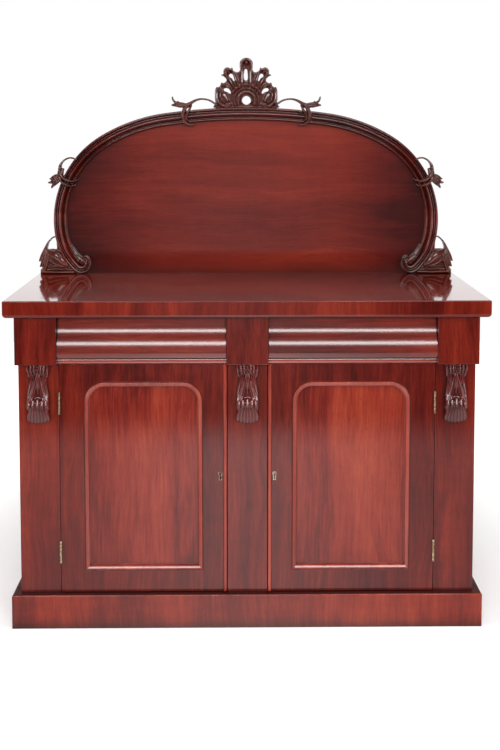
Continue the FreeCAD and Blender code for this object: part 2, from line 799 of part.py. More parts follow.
def make_corbels():
    outer = f"({SIDE_OUTER} - pilaster_width / 2)"
    corbels = [
        make_corbel("left_corbel", f"-{outer}"),
        make_corbel("centre_corbel", "0"),
        make_corbel("right_corbel", outer),
    ]
    return group("corbels", corbels)


# Plinth: four boards under the carcass, the shown ones rounded along the top.


def make_plinth():
    level = ("0", "plinth_height")
    front_back = f"({FACE_BACK} + plinth_lap)"
    height, front, side_face = number("plinth_height"), number(PLINTH_FRONT), number(PLINTH_OUTER)

    def on_top_edge(point):
        shown = near(point.y, front) or near(abs(point.x), side_face)
        return near(point.z, height) and shown

    nodes = [
        rounded(
            "plinth_front",
            board(
                "plinth_front_blank",
                (f"-{PLINTH_OUTER}", PLINTH_OUTER),
                (PLINTH_FRONT, front_back),
                level,
            ),
            "plinth_edge",
            on_top_edge,
        )
    ]
    inner = f"({PLINTH_OUTER} - plinth_thickness)"
    members = [
        rounded(
            f"{name}_plinth_side",
            board(
                f"{name}_plinth_blank", span(side, inner, PLINTH_OUTER), (front_back, BACK_OUTER), level
            ),
            "plinth_edge",
            on_top_edge,
        )
        for name, side in SIDES
    ]
    nodes.append(group("plinth_sides", members))
    behind = (f"({BACK_OUTER} - plinth_thickness)", BACK_OUTER)
    nodes.append(board("plinth_back", (f"-{inner}", inner), behind, level))
    return nodes


# Drawers: a cushion front, two sides, a back and a bottom each.


def cushion_front(name, side):
    """Drawer front: an upright strip, a hollow, and a bulge that turns under at the foot."""
    label = f"{name}_drawer_front"
    body = new_body(label)
    upper = f"({BLOCK_FRONT} + drawer_top_setback)"
    bulge_level = f"({DRAWER_FOOT} + bulge_height)"
    hollow_top = f"({DRAWER_TOP} - drawer_fascia)"
    run = f"({hollow_top} - {bulge_level})"
    slope = f"(drawer_top_setback / {run})"
    radii = f"({run} * (1 + {slope} ^ 2) / (2 * {slope}))"
    turned_under = "(bulge_under_radius - sqrt(bulge_under_radius ^ 2 - bulge_height ^ 2))"
    corners = (
        (DRAWER_BACK, DRAWER_FOOT),
        (DRAWER_BACK, DRAWER_TOP),
        (upper, DRAWER_TOP),
        (upper, hollow_top),
        (f"{upper} - hollow_share * drawer_top_setback", f"{hollow_top} - hollow_share * {run}"),
        (BLOCK_FRONT, bulge_level),
        (f"{BLOCK_FRONT} + {turned_under}", DRAWER_FOOT),
    )
    arcs = {
        3: (f"hollow_share * {radii}", -1),
        4: (f"(1 - hollow_share) * {radii}", 1),
        5: ("bulge_under_radius", 1),
    }
    sketch = outline(body, f"{label}_profile", "YZ_Plane", corners, arcs)
    pad(body, sketch, f"{DRAWER_RIGHT} - {DRAWER_LEFT}")
    place(body, span(side, DRAWER_LEFT, DRAWER_RIGHT)[0])
    return body


def make_drawer(name, side):
    box_level = (BOX_FOOT, BOX_TOP)
    depth = (DRAWER_BACK, BOX_BACK)
    inside_left = f"({BOX_LEFT} + drawer_side_thickness)"
    inside_right = f"({BOX_RIGHT} - drawer_side_thickness)"
    sides = group(
        f"{name}_drawer_sides",
        [
            board(f"{name}_drawer_inner_side", span(side, BOX_LEFT, inside_left), depth, box_level),
            board(f"{name}_drawer_outer_side", span(side, inside_right, BOX_RIGHT), depth, box_level),
        ],
    )
    bottom_foot = f"({BOX_FOOT} + drawer_bottom_lift)"
    bottom_top = f"({bottom_foot} + drawer_bottom_thickness)"
    inside = span(side, inside_left, inside_right)
    bottom = board(f"{name}_drawer_bottom", inside, depth, (bottom_foot, bottom_top))
    back = board(
        f"{name}_drawer_back",
        inside,
        (f"({BOX_BACK} - drawer_side_thickness)", BOX_BACK),
        (bottom_top, BOX_TOP),
    )
    return [cushion_front(name, side), sides, bottom, back]


# Doors: a framed panel each, with a panel moulding, a closing bead, hinges and a lock.


def panel_rebate(side, outset="panel_tongue", back=DOOR_BACK):
    """The room for the panel behind the frame, or the panel itself."""
    return (
        span(side, f"({PANEL_LEFT} - {outset})", f"({PANEL_RIGHT} + {outset})"),
        (PANEL_FACE, back),
        (f"({PANEL_FOOT} - {outset})", f"({PANEL_TOP} + {outset})"),
    )


def arched_corners(side, inset):
    """The panel opening's outline, drawn in by an amount, with its two upper corners round."""
    left, right = span(side, f"({PANEL_LEFT} + {inset})", f"({PANEL_RIGHT} - {inset})")
    foot, head = f"({PANEL_FOOT} + {inset})", f"({PANEL_TOP} - {inset})"
    radius = f"(arch_corner_radius - {inset})"
    corners = (
        (left, foot),
        (right, foot),
        (right, f"{head} - {radius}"),
        (f"{right} - {radius}", head),
        (f"{left} + {radius}", head),
        (left, f"{head} - {radius}"),
    )
    return corners, {2: (radius, 1), 4: (radius, 1)}


def make_panel_moulding(name, side):
    """Half-round moulding around the panel, seated on the panel inside the frame."""
    label = f"{name}_door_moulding"
    body = new_body(label)
    outer = outline(body, f"{label}_outside", "XZ_Plane", *arched_corners(side, "0"))
    pad(body, outer, "panel_setback + moulding_proud")
    inner = outline(body, f"{label}_inside", "XZ_Plane", *arched_corners(side, "moulding_width"))
    pocket = body.newObject("PartDesign::Pocket", f"{label}_pocket")
    pocket.Profile = inner
    pocket.Type = "ThroughAll"
    pocket.Midplane = True
    doc.recompute()
    front = -number("panel_setback + moulding_proud")
    soften(
        body,
        pocket,
        "min(moulding_round; moulding_width * 0.45)",
        lambda point: near(point.y, front),
    )
    place(body, y=PANEL_FACE)
    return body


def opening_shape(side):
    """The panel opening right through the frame."""
    corners, arcs = arched_corners(side, "0")
    points = [FreeCAD.Vector(number(x), number(f"{FACE} - 1"), number(z)) for x, z in corners]
    radius = number("arch_corner_radius")
    edges = []
    for index, start in enumerate(points):
        end = points[(index + 1) % len(points)]
        if index in arcs:
            centre = FreeCAD.Vector(min(start.x, end.x), start.y, min(start.z, end.z))
            if index == 4:
                centre.x = max(start.x, end.x)
            outward = start + end - centre * 2
            edges.append(Part.Arc(start, centre + outward / outward.Length * radius, end).toShape())
        else:
            edges.append(Part.makeLine(start, end))
    face = Part.Face(Part.Wire(edges))
    return face.extrude(FreeCAD.Vector(0, number("door_thickness") + 2, 0))


def keyhole(side, wall, y):
    """Shape of a keyhole, widened by a wall, between two planes."""
    front, back = (number(plane) for plane in y)
    x = side * number(f"{BEAD_END} + keyhole_backset")
    level = number("lock_height") + number("keyhole_drop - keyhole_radius") / 2
    depth = FreeCAD.Vector(0, 1, 0)
    round_part = Part.makeCylinder(
        number("keyhole_radius") + wall, back - front, FreeCAD.Vector(x, front, level), depth
    )
    half_slot = number("keyhole_slot") / 2 + wall
    drop = number("keyhole_drop") + wall
    slot = Part.makeBox(2 * half_slot, back - front, drop, FreeCAD.Vector(x - half_slot, front, level - drop))
    return round_part.fuse(slot).removeSplitter()


def lock_case_room(side):
    middle = "lock_case_height / 2"
    return block(
        span(side, DOOR_INNER, f"({DOOR_INNER} + lock_length)"),
        (CASE_FRONT, DOOR_BACK),
        (f"(lock_height - {middle})", f"(lock_height + {middle})"),
    )


def bolt_shape(side, clearance="0"):
    """The drawn bolt, or the room that it slides in."""
    end = "0" if clearance == "0" else f"({clearance} + bolt_setback)"
    return block(
        span(
            side,
            f"({DOOR_INNER} + bolt_setback - {end})",
            f"({DOOR_INNER} + bolt_setback + bolt_length + {clearance})",
        ),
        (
            f"({BOLT_MIDDLE} - bolt_thickness / 2 - {clearance})",
            f"({BOLT_MIDDLE} + bolt_thickness / 2 + {clearance})",
        ),
        (
            f"(lock_height - bolt_height / 2 - {clearance})",
            f"(lock_height + bolt_height / 2 + {clearance})",
        ),
    )


def make_lock(name, side):
    case_room = lock_case_room(side)
    key_room = keyhole(side, 0, (f"{CASE_FRONT} - 1", f"{CASE_FRONT} + escutcheon_wall"))
    case = case_room.cut(bolt_shape(side, "bolt_clearance")).cut(key_room)
    lining = (f"{FACE} - escutcheon_proud", f"{FACE} + escutcheon_depth")
    ring = keyhole(side, number("escutcheon_wall"), lining).cut(keyhole(side, 0, lining))
    return [
        solid(f"{name}_lock_case", case),
        solid(f"{name}_lock_bolt", bolt_shape(side)),
        solid(f"{name}_escutcheon", ring),
    ]


def make_door(name, side):
    depth = (FACE, DOOR_BACK)
    full = (DOOR_FOOT, DOOR_TOP)
    rebate = block(*panel_rebate(side))
    case_room = lock_case_room(side)
    clearance = number("fit_clearance")
    lining_room = keyhole(
        side, number("escutcheon_wall") + clearance, (f"{FACE} - 1", f"{FACE} + escutcheon_depth")
    )
    key_room = keyhole(side, 0, (f"{FACE} - 1", f"{CASE_FRONT} + 1"))
    hinge_stile = cut(
        f"{name}_door_hinge_stile",
        board(f"{name}_hinge_stile_blank", span(side, PANEL_RIGHT, DOOR_OUTER), depth, full),
        rebate.fuse([hinge_recess(side), *leaf_screws(side, False, number("pin_clearance"))]),
    )
    lock_stile = cut(
        f"{name}_door_lock_stile",
        board(f"{name}_lock_stile_blank", span(side, BEAD_END, PANEL_LEFT), depth, full),
        rebate.fuse([case_room, lining_room, key_room]),
    )
    between = span(side, PANEL_LEFT, PANEL_RIGHT)
    top_rail = board(
        f"{name}_door_top_rail_blank",
        between,
        depth,
        (f"({PANEL_TOP} - arch_corner_radius + panel_tongue / 2)", DOOR_TOP),
    )
    rails = group(
        f"{name}_door_rails",
        [
            cut(f"{name}_door_top_rail", top_rail, rebate.fuse(opening_shape(side))),
            cut(
                f"{name}_door_bottom_rail",
                board(f"{name}_door_bottom_rail_blank", between, depth, (DOOR_FOOT, PANEL_FOOT)),
                rebate,
            ),
        ],
    )
    tongue = "(panel_tongue - panel_clearance)"
    panel = board(
        f"{name}_door_panel", *panel_rebate(side, tongue, f"({PANEL_FACE} + panel_thickness)")
    )
    bead_front = f"({FACE} - bead_proud)"
    front = number(bead_front)
    bead_strip = board(
        f"{name}_bead_strip", span(side, DOOR_INNER, BEAD_END), (bead_front, DOOR_BACK), full
    )
    bead_round = rounded(
        f"{name}_bead_round",
        bead_strip,
        "min(bead_round; bead_width * 0.45)",
        lambda point: near(point.y, front),
        "z",
    )
    bead = cut(f"{name}_door_closing_bead", bead_round, case_room)
    leaves = [hinge_leaf(side, False, level) for level in HINGE_LEVELS]
    screws = leaf_screws(side, False)
    screw_room = Part.makeCompound(leaf_screws(side, False, number("pin_clearance")))
    return [
        hinge_stile,
        lock_stile,
        rails,
        panel,
        make_panel_moulding(name, side),
        bead,
        *make_lock(name, side),
        solid(f"{name}_door_hinge_leaves", Part.makeCompound([leaf.cut(screw_room) for leaf in leaves])),
        solid(f"{name}_door_hinge_screws", Part.makeCompound(screws)),
    ]


def make_frame_hinges():
    """Hinge leaves with their pins on both outer pilasters, and their screws."""
    leaves = []
    screws = []
    for _, side in SIDES:
        screw_room = Part.makeCompound(leaf_screws(side, True, number("pin_clearance")))
        leaves += [hinge_leaf(side, True, level).cut(screw_room) for level in HINGE_LEVELS]
        screws += leaf_screws(side, True)
    return [
        solid("frame_hinge_leaves", Part.makeCompound(leaves)),
        solid("frame_hinge_screws", Part.makeCompound(screws)),
    ]


# Backboard: a board cut to an arch of tangent arcs, under a moulding that ends in scrolls.


def arch_arcs():
    """Arcs of the arch's right half from the crown down, each with its middle, its radius and
    the slopes where it begins and ends, measured clockwise from level."""
    flank, shoulder, foot, scroll = (
        number(f"{name}_radius") for name in ("flank", "shoulder", "foot", "scroll")
    )
    shoulder_end, flank_end, foot_end = (
        math.radians(number(f"{name}_angle")) for name in ("shoulder", "flank", "foot")
    )

    def step(middle, from_radius, to_radius, slope):
        reach = from_radius - to_radius
        return (middle[0] + reach * math.sin(slope), middle[1] + reach * math.cos(slope))

    down = (flank - foot) * math.cos(flank_end) + (foot - scroll) * math.cos(foot_end)
    flank_middle = (number(ARCH_HALF_WIDTH) - flank, number(TOP_SURFACE) + scroll - down)
    foot_middle = step(flank_middle, flank, foot, flank_end)
    scroll_middle = step(foot_middle, foot, scroll, foot_end)
    shoulder_middle = step(flank_middle, flank, shoulder, shoulder_end)
    crown_end = 2 * math.atan2(number("crown_lift"), shoulder_middle[0])
    crown = shoulder + shoulder_middle[0] / math.sin(crown_end)
    crown_middle = step(shoulder_middle, shoulder, crown, crown_end)
    return (
        (crown_middle, crown, 0, crown_end),
        (shoulder_middle, shoulder, crown_end, shoulder_end),
        (flank_middle, flank, shoulder_end, flank_end),
        (foot_middle, foot, flank_end, foot_end),
        (scroll_middle, scroll, foot_end, math.pi),
    )


def arc_point(arc, slope, inset, y):
    middle, radius, _, _ = arc
    reach = radius - inset
    return FreeCAD.Vector(middle[0] + reach * math.sin(slope), y, middle[1] + reach * math.cos(slope))


def arc_edges(arcs, inset, y):
    return [
        Part.Arc(*(arc_point(arc, slope, inset, y) for slope in (arc[2], (arc[2] + arc[3]) / 2, arc[3])))
        .toShape()
        for arc in arcs
    ]


def both_halves(half):
    """A right-hand shape joined to its mirror image."""
    mirrored = half.mirror(FreeCAD.Vector(0, 0, 0), FreeCAD.Vector(1, 0, 0))
    return half.fuse(mirrored).removeSplitter()


def left_and_right(half):
    """A right-hand shape and its mirror image, kept apart."""
    mirrored = half.mirror(FreeCAD.Vector(0, 0, 0), FreeCAD.Vector(1, 0, 0))
    return Part.makeCompound([half, mirrored])


def arch_board(inset, front, back):
    """A board cut to the arch's outline, drawn in by an amount, standing on the top."""
    arcs = arch_arcs()
    y = number(front)
    edges = arc_edges(arcs, inset, y)
    start = arc_point(arcs[0], 0, inset, y)
    end = arc_point(arcs[-1], math.pi, inset, y)
    foot = min(number(TOP_SURFACE), end.z)
    corner = FreeCAD.Vector(end.x, y, foot)
    middle = FreeCAD.Vector(0, y, foot)
    if end.z - foot > 1e-6:
        edges.append(Part.makeLine(end, corner))
    edges += [Part.makeLine(corner, middle), Part.makeLine(middle, start)]
    half = Part.Face(Part.Wire(edges)).extrude(FreeCAD.Vector(0, number(back) - y, 0))
    return both_halves(half)


def arch_band():
    """The arch moulding, from scroll to scroll."""
    arcs = arch_arcs()[:-1]
    y, depth = number(ARCH_FRONT), number("arch_moulding_depth")
    width = number("arch_moulding_width")
    outer = arc_edges(arcs, 0, y)
    inner = arc_edges(arcs, width, y)
    crown, foot = arcs[0], arcs[-1]
    sides = [
        Part.makeLine(arc_point(crown, 0, 0, y), arc_point(crown, 0, width, y)),
        Part.makeLine(arc_point(foot, foot[3], 0, y), arc_point(foot, foot[3], width, y)),
    ]
    wire = Part.Wire(Part.__sortEdges__([*outer, *inner, *sides]))
    band = Part.Face(wire).extrude(FreeCAD.Vector(0, depth, 0))
    middle, radius, _, _ = arch_arcs()[-1]
    scroll = Part.makeCylinder(
        radius, depth, FreeCAD.Vector(middle[0], y, middle[1]), FreeCAD.Vector(0, 1, 0)
    )
    return both_halves(band.fuse(scroll))


def dowel_shapes(clearance=0):
    """Dowels half in the table top and half in the backboard."""
    radius = number("dowel_radius") + clearance
    length = number("dowel_length")
    count = int(number("dowel_count"))
    reach = arch_arcs()[-1][0][0] - number("dowel_inset")
    behind = number(f"{BACKBOARD_FRONT} + backboard_thickness / 2")
    foot = number(TOP_SURFACE) - length / 2
    return [
        Part.makeCylinder(
            radius, length, FreeCAD.Vector(reach * (2 * index / (count - 1) - 1), behind, foot)
        )
        for index in range(count)
    ]


def batten_screws(clearance=0):
    """Screws from the back through the battens into the backboard."""
    forward = FreeCAD.Vector(0, -1, 0)
    count = int(number("batten_screw_count"))
    pitch = number("batten_height") / count
    shapes = []
    for _, side in SIDES:
        for index in range(count):
            head_at = FreeCAD.Vector(
                side * number("batten_offset"),
                number(f"{BACKBOARD_BACK} + batten_thickness"),
                number(TOP_SURFACE) + (index + 0.5) * pitch,
            )
            head = Part.makeCylinder(
                number("batten_screw_head_radius") + clearance,
                number("batten_screw_head") + clearance,
                head_at,
                forward,
            )
            shank = Part.makeCylinder(
                number("batten_screw_radius") + clearance,
                number("batten_screw_length") + clearance,
                head_at,
                forward,
            )
            shapes.append(head.fuse(shank).removeSplitter())
    return shapes


def make_backboard():
    clearance = number("fit_clearance")
    holes = Part.makeCompound([*dowel_shapes(clearance), *batten_screws(clearance)])
    panel = arch_board(number("backboard_reveal"), BACKBOARD_FRONT, BACKBOARD_BACK).cut(holes)
    behind = (BACKBOARD_BACK, f"({BACKBOARD_BACK} + batten_thickness)")
    level = (TOP_SURFACE, f"({TOP_SURFACE} + batten_height)")
    half_width = "batten_width / 2"
    battens = [
        cut(
            f"{name}_batten",
            board(
                f"{name}_batten_blank",
                span(side, f"(batten_offset - {half_width})", f"(batten_offset + {half_width})"),
                behind,
                level,
            ),
            Part.makeCompound(batten_screws(clearance)),
        )
        for name, side in SIDES
    ]
    return [
        solid("backboard_panel", panel),
        solid("arch_moulding", arch_band()),
        group("backboard_battens", battens),
        solid("backboard_screws_and_dowels", Part.makeCompound([*batten_screws(), *dowel_shapes()])),
    ]


# Carving: the pierced crest, the leaf sprays and clasps, and the ears at the foot.

# Outlines of the right-hand leaves, as distances outwards and up. A spray starts from the crown
# of the arch, and a clasp from the arch's widest point.
SPRAY_OUTLINE = (
    (90, 10), (112, 24), (134, 31), (160, 20), (186, 13), (201, 24), (217, 34), (213, 17),
    (216, 4), (196, -4), (187, -18), (178, -40), (152, -52), (150, -44), (166, -35), (171, -14),
    (158, 1), (132, 15), (108, 8),
)
CLASP_OUTLINE = (
    (-52, 188), (-30, 180), (-16, 164), (-10, 142), (10, 124), (18, 110), (10, 97), (-8, 102),
    (-22, 115), (-34, 104), (-58, 97), (-61, 103), (-40, 117), (-62, 114), (-50, 127), (-33, 138),
    (-24, 152), (-30, 168), (-43, 179),
)


def leaf_plate(outline_points, across, up, front):
    """A flat leaf with a smooth outline."""
    points = [FreeCAD.Vector(across + x, front, up + z) for x, z in outline_points]
    curve = Part.BSplineCurve()
    curve.interpolate(points, PeriodicFlag=True)
    face = Part.Face(Part.Wire([curve.toShape()]))
    return face.extrude(FreeCAD.Vector(0, number("leaf_thickness"), 0))


# The crest's fan, as shares of its height or half-width, with its spread in degrees.
CREST_LOBES = 7
CREST_SPREAD = 62
CREST_LOBE_RADIUS = 13
CREST_BODY_RADIUS = 0.62
CREST_BODY_RISE = 0.56
CREST_FLATTENING = 0.8
CREST_SIDE_FALL = 0.22
CREST_RINGS = (0.8, 1)
CREST_HOLE_RISE = 0.2
CREST_SLOTS = (0.45, 0.5)


def crest_shape():
    """A fan of lobes over two base scrolls, pierced, seated on the arch."""
    depth = FreeCAD.Vector(0, 1, 0)
    thickness = number("crest_thickness")
    front = number(ARCH_FRONT)
    crown = arc_point(arch_arcs()[0], 0, 0, front)
    height, half_width = number("crest_height"), number("crest_half_width")
    volute = number("crest_volute")

    def disc(x, z, radius):
        at = FreeCAD.Vector(crown.x + x, front, crown.z + z)
        return Part.makeCylinder(radius, thickness, at, depth)

    body = disc(0, half_width * CREST_BODY_RISE, half_width * CREST_BODY_RADIUS)
    discs = [disc(side * (half_width - volute), volute * CREST_FLATTENING, volute) for _, side in SIDES]
    for index in range(CREST_LOBES):
        angle = math.radians(CREST_SPREAD * (2 * index / (CREST_LOBES - 1) - 1))
        reach = (height - CREST_LOBE_RADIUS) * (1 - CREST_SIDE_FALL * abs(math.sin(angle)))
        for ring in CREST_RINGS:
            across = reach * ring * math.sin(angle) * CREST_FLATTENING
            discs.append(disc(across, reach * ring * math.cos(angle), CREST_LOBE_RADIUS))
    holes = [disc(0, height * CREST_HOLE_RISE, CREST_LOBE_RADIUS)]
    for _, side in SIDES:
        across, up = side * half_width * CREST_SLOTS[0], height * CREST_SLOTS[1]
        holes.append(disc(across, up, CREST_LOBE_RADIUS / 2))
    seat = arch_board(0, ARCH_FRONT + " - 10", BACKBOARD_BACK + " + 10")
    return body.fuse(discs).removeSplitter().cut(Part.makeCompound(holes)).cut(seat)


# Outline of an ear, as shares of its width inwards and of its height upwards.
EAR_OUTLINE = ((0, 0), (0, 0.45), (0.18, 1), (0.36, 1.45), (0.6, 1.45), (1, 0.4), (1, 0))


def ear_shape():
    """A carved ear standing on the top against the foot of the arch."""
    front = number(ARCH_FRONT)
    foot = number(TOP_SURFACE)
    outer = number("top_width / 2 - ear_end_gap")
    height, width = number("ear_height"), number("ear_width")
    corners = [
        FreeCAD.Vector(outer - width * inwards, front, foot + height * up) for inwards, up in EAR_OUTLINE
    ]
    face = Part.Face(Part.makePolygon([*corners, corners[0]]))
    ear = face.extrude(FreeCAD.Vector(0, number("ear_thickness"), 0))
    clear_of_arch = arch_board(-number("ear_gap"), ARCH_FRONT + " - 1", BACKBOARD_BACK)
    return ear.cut(clear_of_arch)


def make_carving():
    front = number(f"{ARCH_FRONT} - leaf_thickness")
    crown = arc_point(arch_arcs()[0], 0, 0, front)
    flank_middle = arch_arcs()[2][0]
    spray = leaf_plate(SPRAY_OUTLINE, 0, crown.z, front)
    clasp = leaf_plate(CLASP_OUTLINE, number(ARCH_HALF_WIDTH), flank_middle[1], front)
    return [
        solid("crest", crest_shape()),
        solid("crest_sprays", left_and_right(spray)),
        solid("side_leaf_clasps", left_and_right(clasp)),
        solid("ear_brackets", left_and_right(ear_shape())),
    ]


NODES = [
    make_table_top(),
    *make_carcass(),
    make_drawer_rail(),
    *make_drawer_seats(),
    *make_pilasters(),
    make_frieze_blocks(),
    make_corbels(),
    *make_plinth(),
    *make_frame_hinges(),
    *make_backboard(),
    *make_carving(),
]
for name, side in SIDES:
    NODES += make_drawer(name, side)
    NODES += make_door(name, side)
doc.recompute()

for thing in doc.Objects:
    if "Invalid" in thing.State or "Error" in thing.State:
        raise RuntimeError(f"{thing.Label} failed to build: {thing.State}")
for node in NODES:
    if node.Shape.isNull() or not node.Shape.isValid():
        raise RuntimeError(f"{node.Label} has no valid shape")

os.makedirs("parts", exist_ok=True)
for node in NODES:
    node.Shape.exportStep(f"parts/{node.Label}.step")
print(len(NODES), "nodes,", sum(len(node.Shape.Solids) for node in NODES), "solids")
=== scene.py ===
import math
from functools import partial

import bmesh
import bpy
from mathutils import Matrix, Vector
from mathutils.geometry import tessellate_polygon


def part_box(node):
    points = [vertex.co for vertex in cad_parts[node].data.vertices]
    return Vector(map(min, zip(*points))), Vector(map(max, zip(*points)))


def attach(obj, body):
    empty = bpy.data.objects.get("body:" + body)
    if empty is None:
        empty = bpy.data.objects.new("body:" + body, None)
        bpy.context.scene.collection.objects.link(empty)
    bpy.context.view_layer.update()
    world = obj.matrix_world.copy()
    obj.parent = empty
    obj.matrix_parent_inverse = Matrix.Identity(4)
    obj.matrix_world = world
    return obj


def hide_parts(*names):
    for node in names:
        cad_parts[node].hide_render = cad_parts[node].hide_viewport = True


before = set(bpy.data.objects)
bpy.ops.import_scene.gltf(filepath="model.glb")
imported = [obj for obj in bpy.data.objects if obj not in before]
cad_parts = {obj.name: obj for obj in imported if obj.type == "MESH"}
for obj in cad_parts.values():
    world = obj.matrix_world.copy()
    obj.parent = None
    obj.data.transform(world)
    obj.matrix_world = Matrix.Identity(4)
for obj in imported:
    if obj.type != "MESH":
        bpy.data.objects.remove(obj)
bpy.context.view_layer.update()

# Camera, in the frame's metres: a little left of the middle, higher than the table top.
CAMERA_PLACE = (-0.019, -2.606, 1.289)
CAMERA_TILT = math.radians(3.67)
CAMERA_YAW = math.radians(-0.61)
CAMERA_LENS = 46.1
CAMERA_SENSOR = 36.0
CAMERA_SHIFT_PX = -190
PHOTO_HEIGHT_PX = 750
CAMERA_CLIP_START = 0.05

# Room levels: a radiance of 1 is white.
WHITE = 1.0
ROOM_FRONT = 0.07
ROOM_GLOW = 0.55
ROOM_DIFFUSE = 0.26
# In parts of a direction of length 1: the glow in front, where the mirrored white begins round the
# sides and is full, and a low band that is brighter by the shine.
GLOW_DROP = 0.12
GLOW_FLATTENED = 0.9
GLOW_REACH = 0.24
BACKDROP_FROM, BACKDROP_FULL = -0.05, 0.25
BACKDROP_SHINE = 0.7
SHINE_FOOT = (0.02, 0.10)
SHINE_TOP = (0.35, 0.22)

# Floor: its tone, then two distances and the level at each, for the light that the camera sees added
# round the object and for its reflection to the sides, then its extent and where it fades out.
FLOOR_TONE = 0.86
FLOOR_MOTTLE = 0.01
FLOOR_MOTTLE_SCALE = 3.0
FLOOR_LIFT = (0.65, 1.6, 0.24, 0.75)
FLOOR_GLOSS = (0.0, 0.75, 1.09, 0.225)
FLOOR_SIDE = 3.2
FLOOR_FRONT = -2.1
FLOOR_BACK = 3.0
FLOOR_FADE = (-2.0, -1.5)

# Lamps: place, aim, size and radiance. Those at the sides and behind are pairs.
FRONT_LAMP = ((0.1, -5.0, 2.47), (0, -0.2, 0.75), (4.0, 0.90), 11.5)
ABOVE_LAMP = ((0, -0.9, 3.0), (0, 0, 0.75), (2.4, 1.2), 1.6)
SIDE_LAMP = ((2.9, -1.3, 1.25), (0, -0.1, 0.8), (1.5, 1.7), 2.9)
BACK_LAMP = ((2.0, 3.6, 2.0), (0, 0.2, 0.7), (1.8, 1.2), 3.6)


def new_object(name, data):
    made = bpy.data.objects.new(name, data)
    bpy.context.scene.collection.objects.link(made)
    return made


def camera():
    made = new_object("camera", bpy.data.cameras.new("camera"))
    made.location = CAMERA_PLACE
    made.rotation_euler = (math.pi / 2 - CAMERA_TILT, 0, CAMERA_YAW)
    made.data.sensor_width = CAMERA_SENSOR
    made.data.lens = CAMERA_LENS
    made.data.shift_y = CAMERA_SHIFT_PX / PHOTO_HEIGHT_PX
    made.data.clip_start = CAMERA_CLIP_START
    bpy.context.scene.camera = made
    bpy.context.scene.view_settings.view_transform = "Standard"


# Nodes

# Most of a noise lies between these.
MOST = (0.3, 0.7)


def node(tree, kind, inputs=None, **settings):
    """A shader node with its settings, and its inputs linked or filled in."""
    made = tree.nodes.new(f"ShaderNode{kind}")
    for key, value in settings.items():
        setattr(made, key, value)
    for key, value in (inputs or {}).items():
        if isinstance(value, bpy.types.NodeSocket):
            tree.links.new(value, made.inputs[key])
        else:
            made.inputs[key].default_value = value
    return made


def maths(operation, tree, first, second=0.0):
    return node(tree, "Math", {0: first, 1: second}, operation=operation).outputs[0]


plus, minus, times = partial(maths, "ADD"), partial(maths, "SUBTRACT"), partial(maths, "MULTIPLY")
greater, positive = partial(maths, "MAXIMUM"), partial(maths, "ABSOLUTE")


def span(tree, value, low, high, to_low=0.0, to_high=1.0):
    """Value carried from one range to another, smoothly and held at its ends."""
    inputs = {"Value": value, "From Min": low, "From Max": high, "To Min": to_low, "To Max": to_high}
    return node(tree, "MapRange", inputs, interpolation_type="SMOOTHSTEP").outputs["Result"]


def noise(tree, place, scale, detail=3.0, roughness=0.55, distortion=0.0):
    inputs = {"Vector": place, "Scale": scale, "Detail": detail}
    inputs |= {"Roughness": roughness, "Distortion": distortion}
    return node(tree, "TexNoise", inputs).outputs["Fac"]


def ramp(tree, value, *stops):
    made = node(tree, "ValToRGB", {"Fac": value})
    elements = made.color_ramp.elements
    while len(elements) < len(stops):
        elements.new(0.5)
    for element, (place, colour) in zip(elements, stops):
        element.position = place
        element.color = (*colour, 1)
    return made.outputs["Color"]


def mix(tree, share, first, second):
    """A colour between two."""
    return node(tree, "Mix", {0: share, 6: first, 7: second}, data_type="RGBA").outputs[2]


def mix_places(tree, share, first, second):
    return node(tree, "Mix", {0: share, 4: first, 5: second}, data_type="VECTOR").outputs[1]


def vectors(tree, operation, first, second):
    return node(tree, "VectorMath", {0: first, 1: second}, operation=operation).outputs


def split(tree, place):
    """The three parts of a place or direction."""
    return node(tree, "SeparateXYZ", {0: place}).outputs


def own_place(tree):
    """The place in the object's own axes."""
    return node(tree, "TexCoord").outputs["Object"]


def length(tree, place):
    return node(tree, "VectorMath", {0: place}, operation="LENGTH").outputs["Value"]


def scaled(tree, place, scale):
    return node(tree, "Mapping", {"Vector": place, "Scale": scale}).outputs[0]


def roughened(tree, height, strength, distance, soft):
    """A normal roughened by a height, on top of a softened one."""
    inputs = {"Strength": strength, "Distance": distance, "Height": height, "Normal": soft}
    return node(tree, "Bump", inputs).outputs[0]


def facing_up(tree):
    """The upward part of the surface's own normal."""
    return split(tree, node(tree, "NewGeometry").outputs["True Normal"])["Z"]


def new_material(name):
    made = bpy.data.materials.new(name)
    made.use_nodes = True
    made.node_tree.nodes.clear()
    return made, made.node_tree


def show(tree, kind, inputs):
    """The surface is a shader of that kind."""
    node(tree, "OutputMaterial", {"Surface": node(tree, kind, inputs).outputs[0]})


# Studio


def ray_kinds(tree):
    """Whether a ray is the camera's, also through something clear, and whether it is a mirrored one."""
    rays = node(tree, "LightPath").outputs
    seen = greater(tree, rays["Is Camera Ray"], rays["Is Transmission Ray"])
    return seen, rays["Is Glossy Ray"]


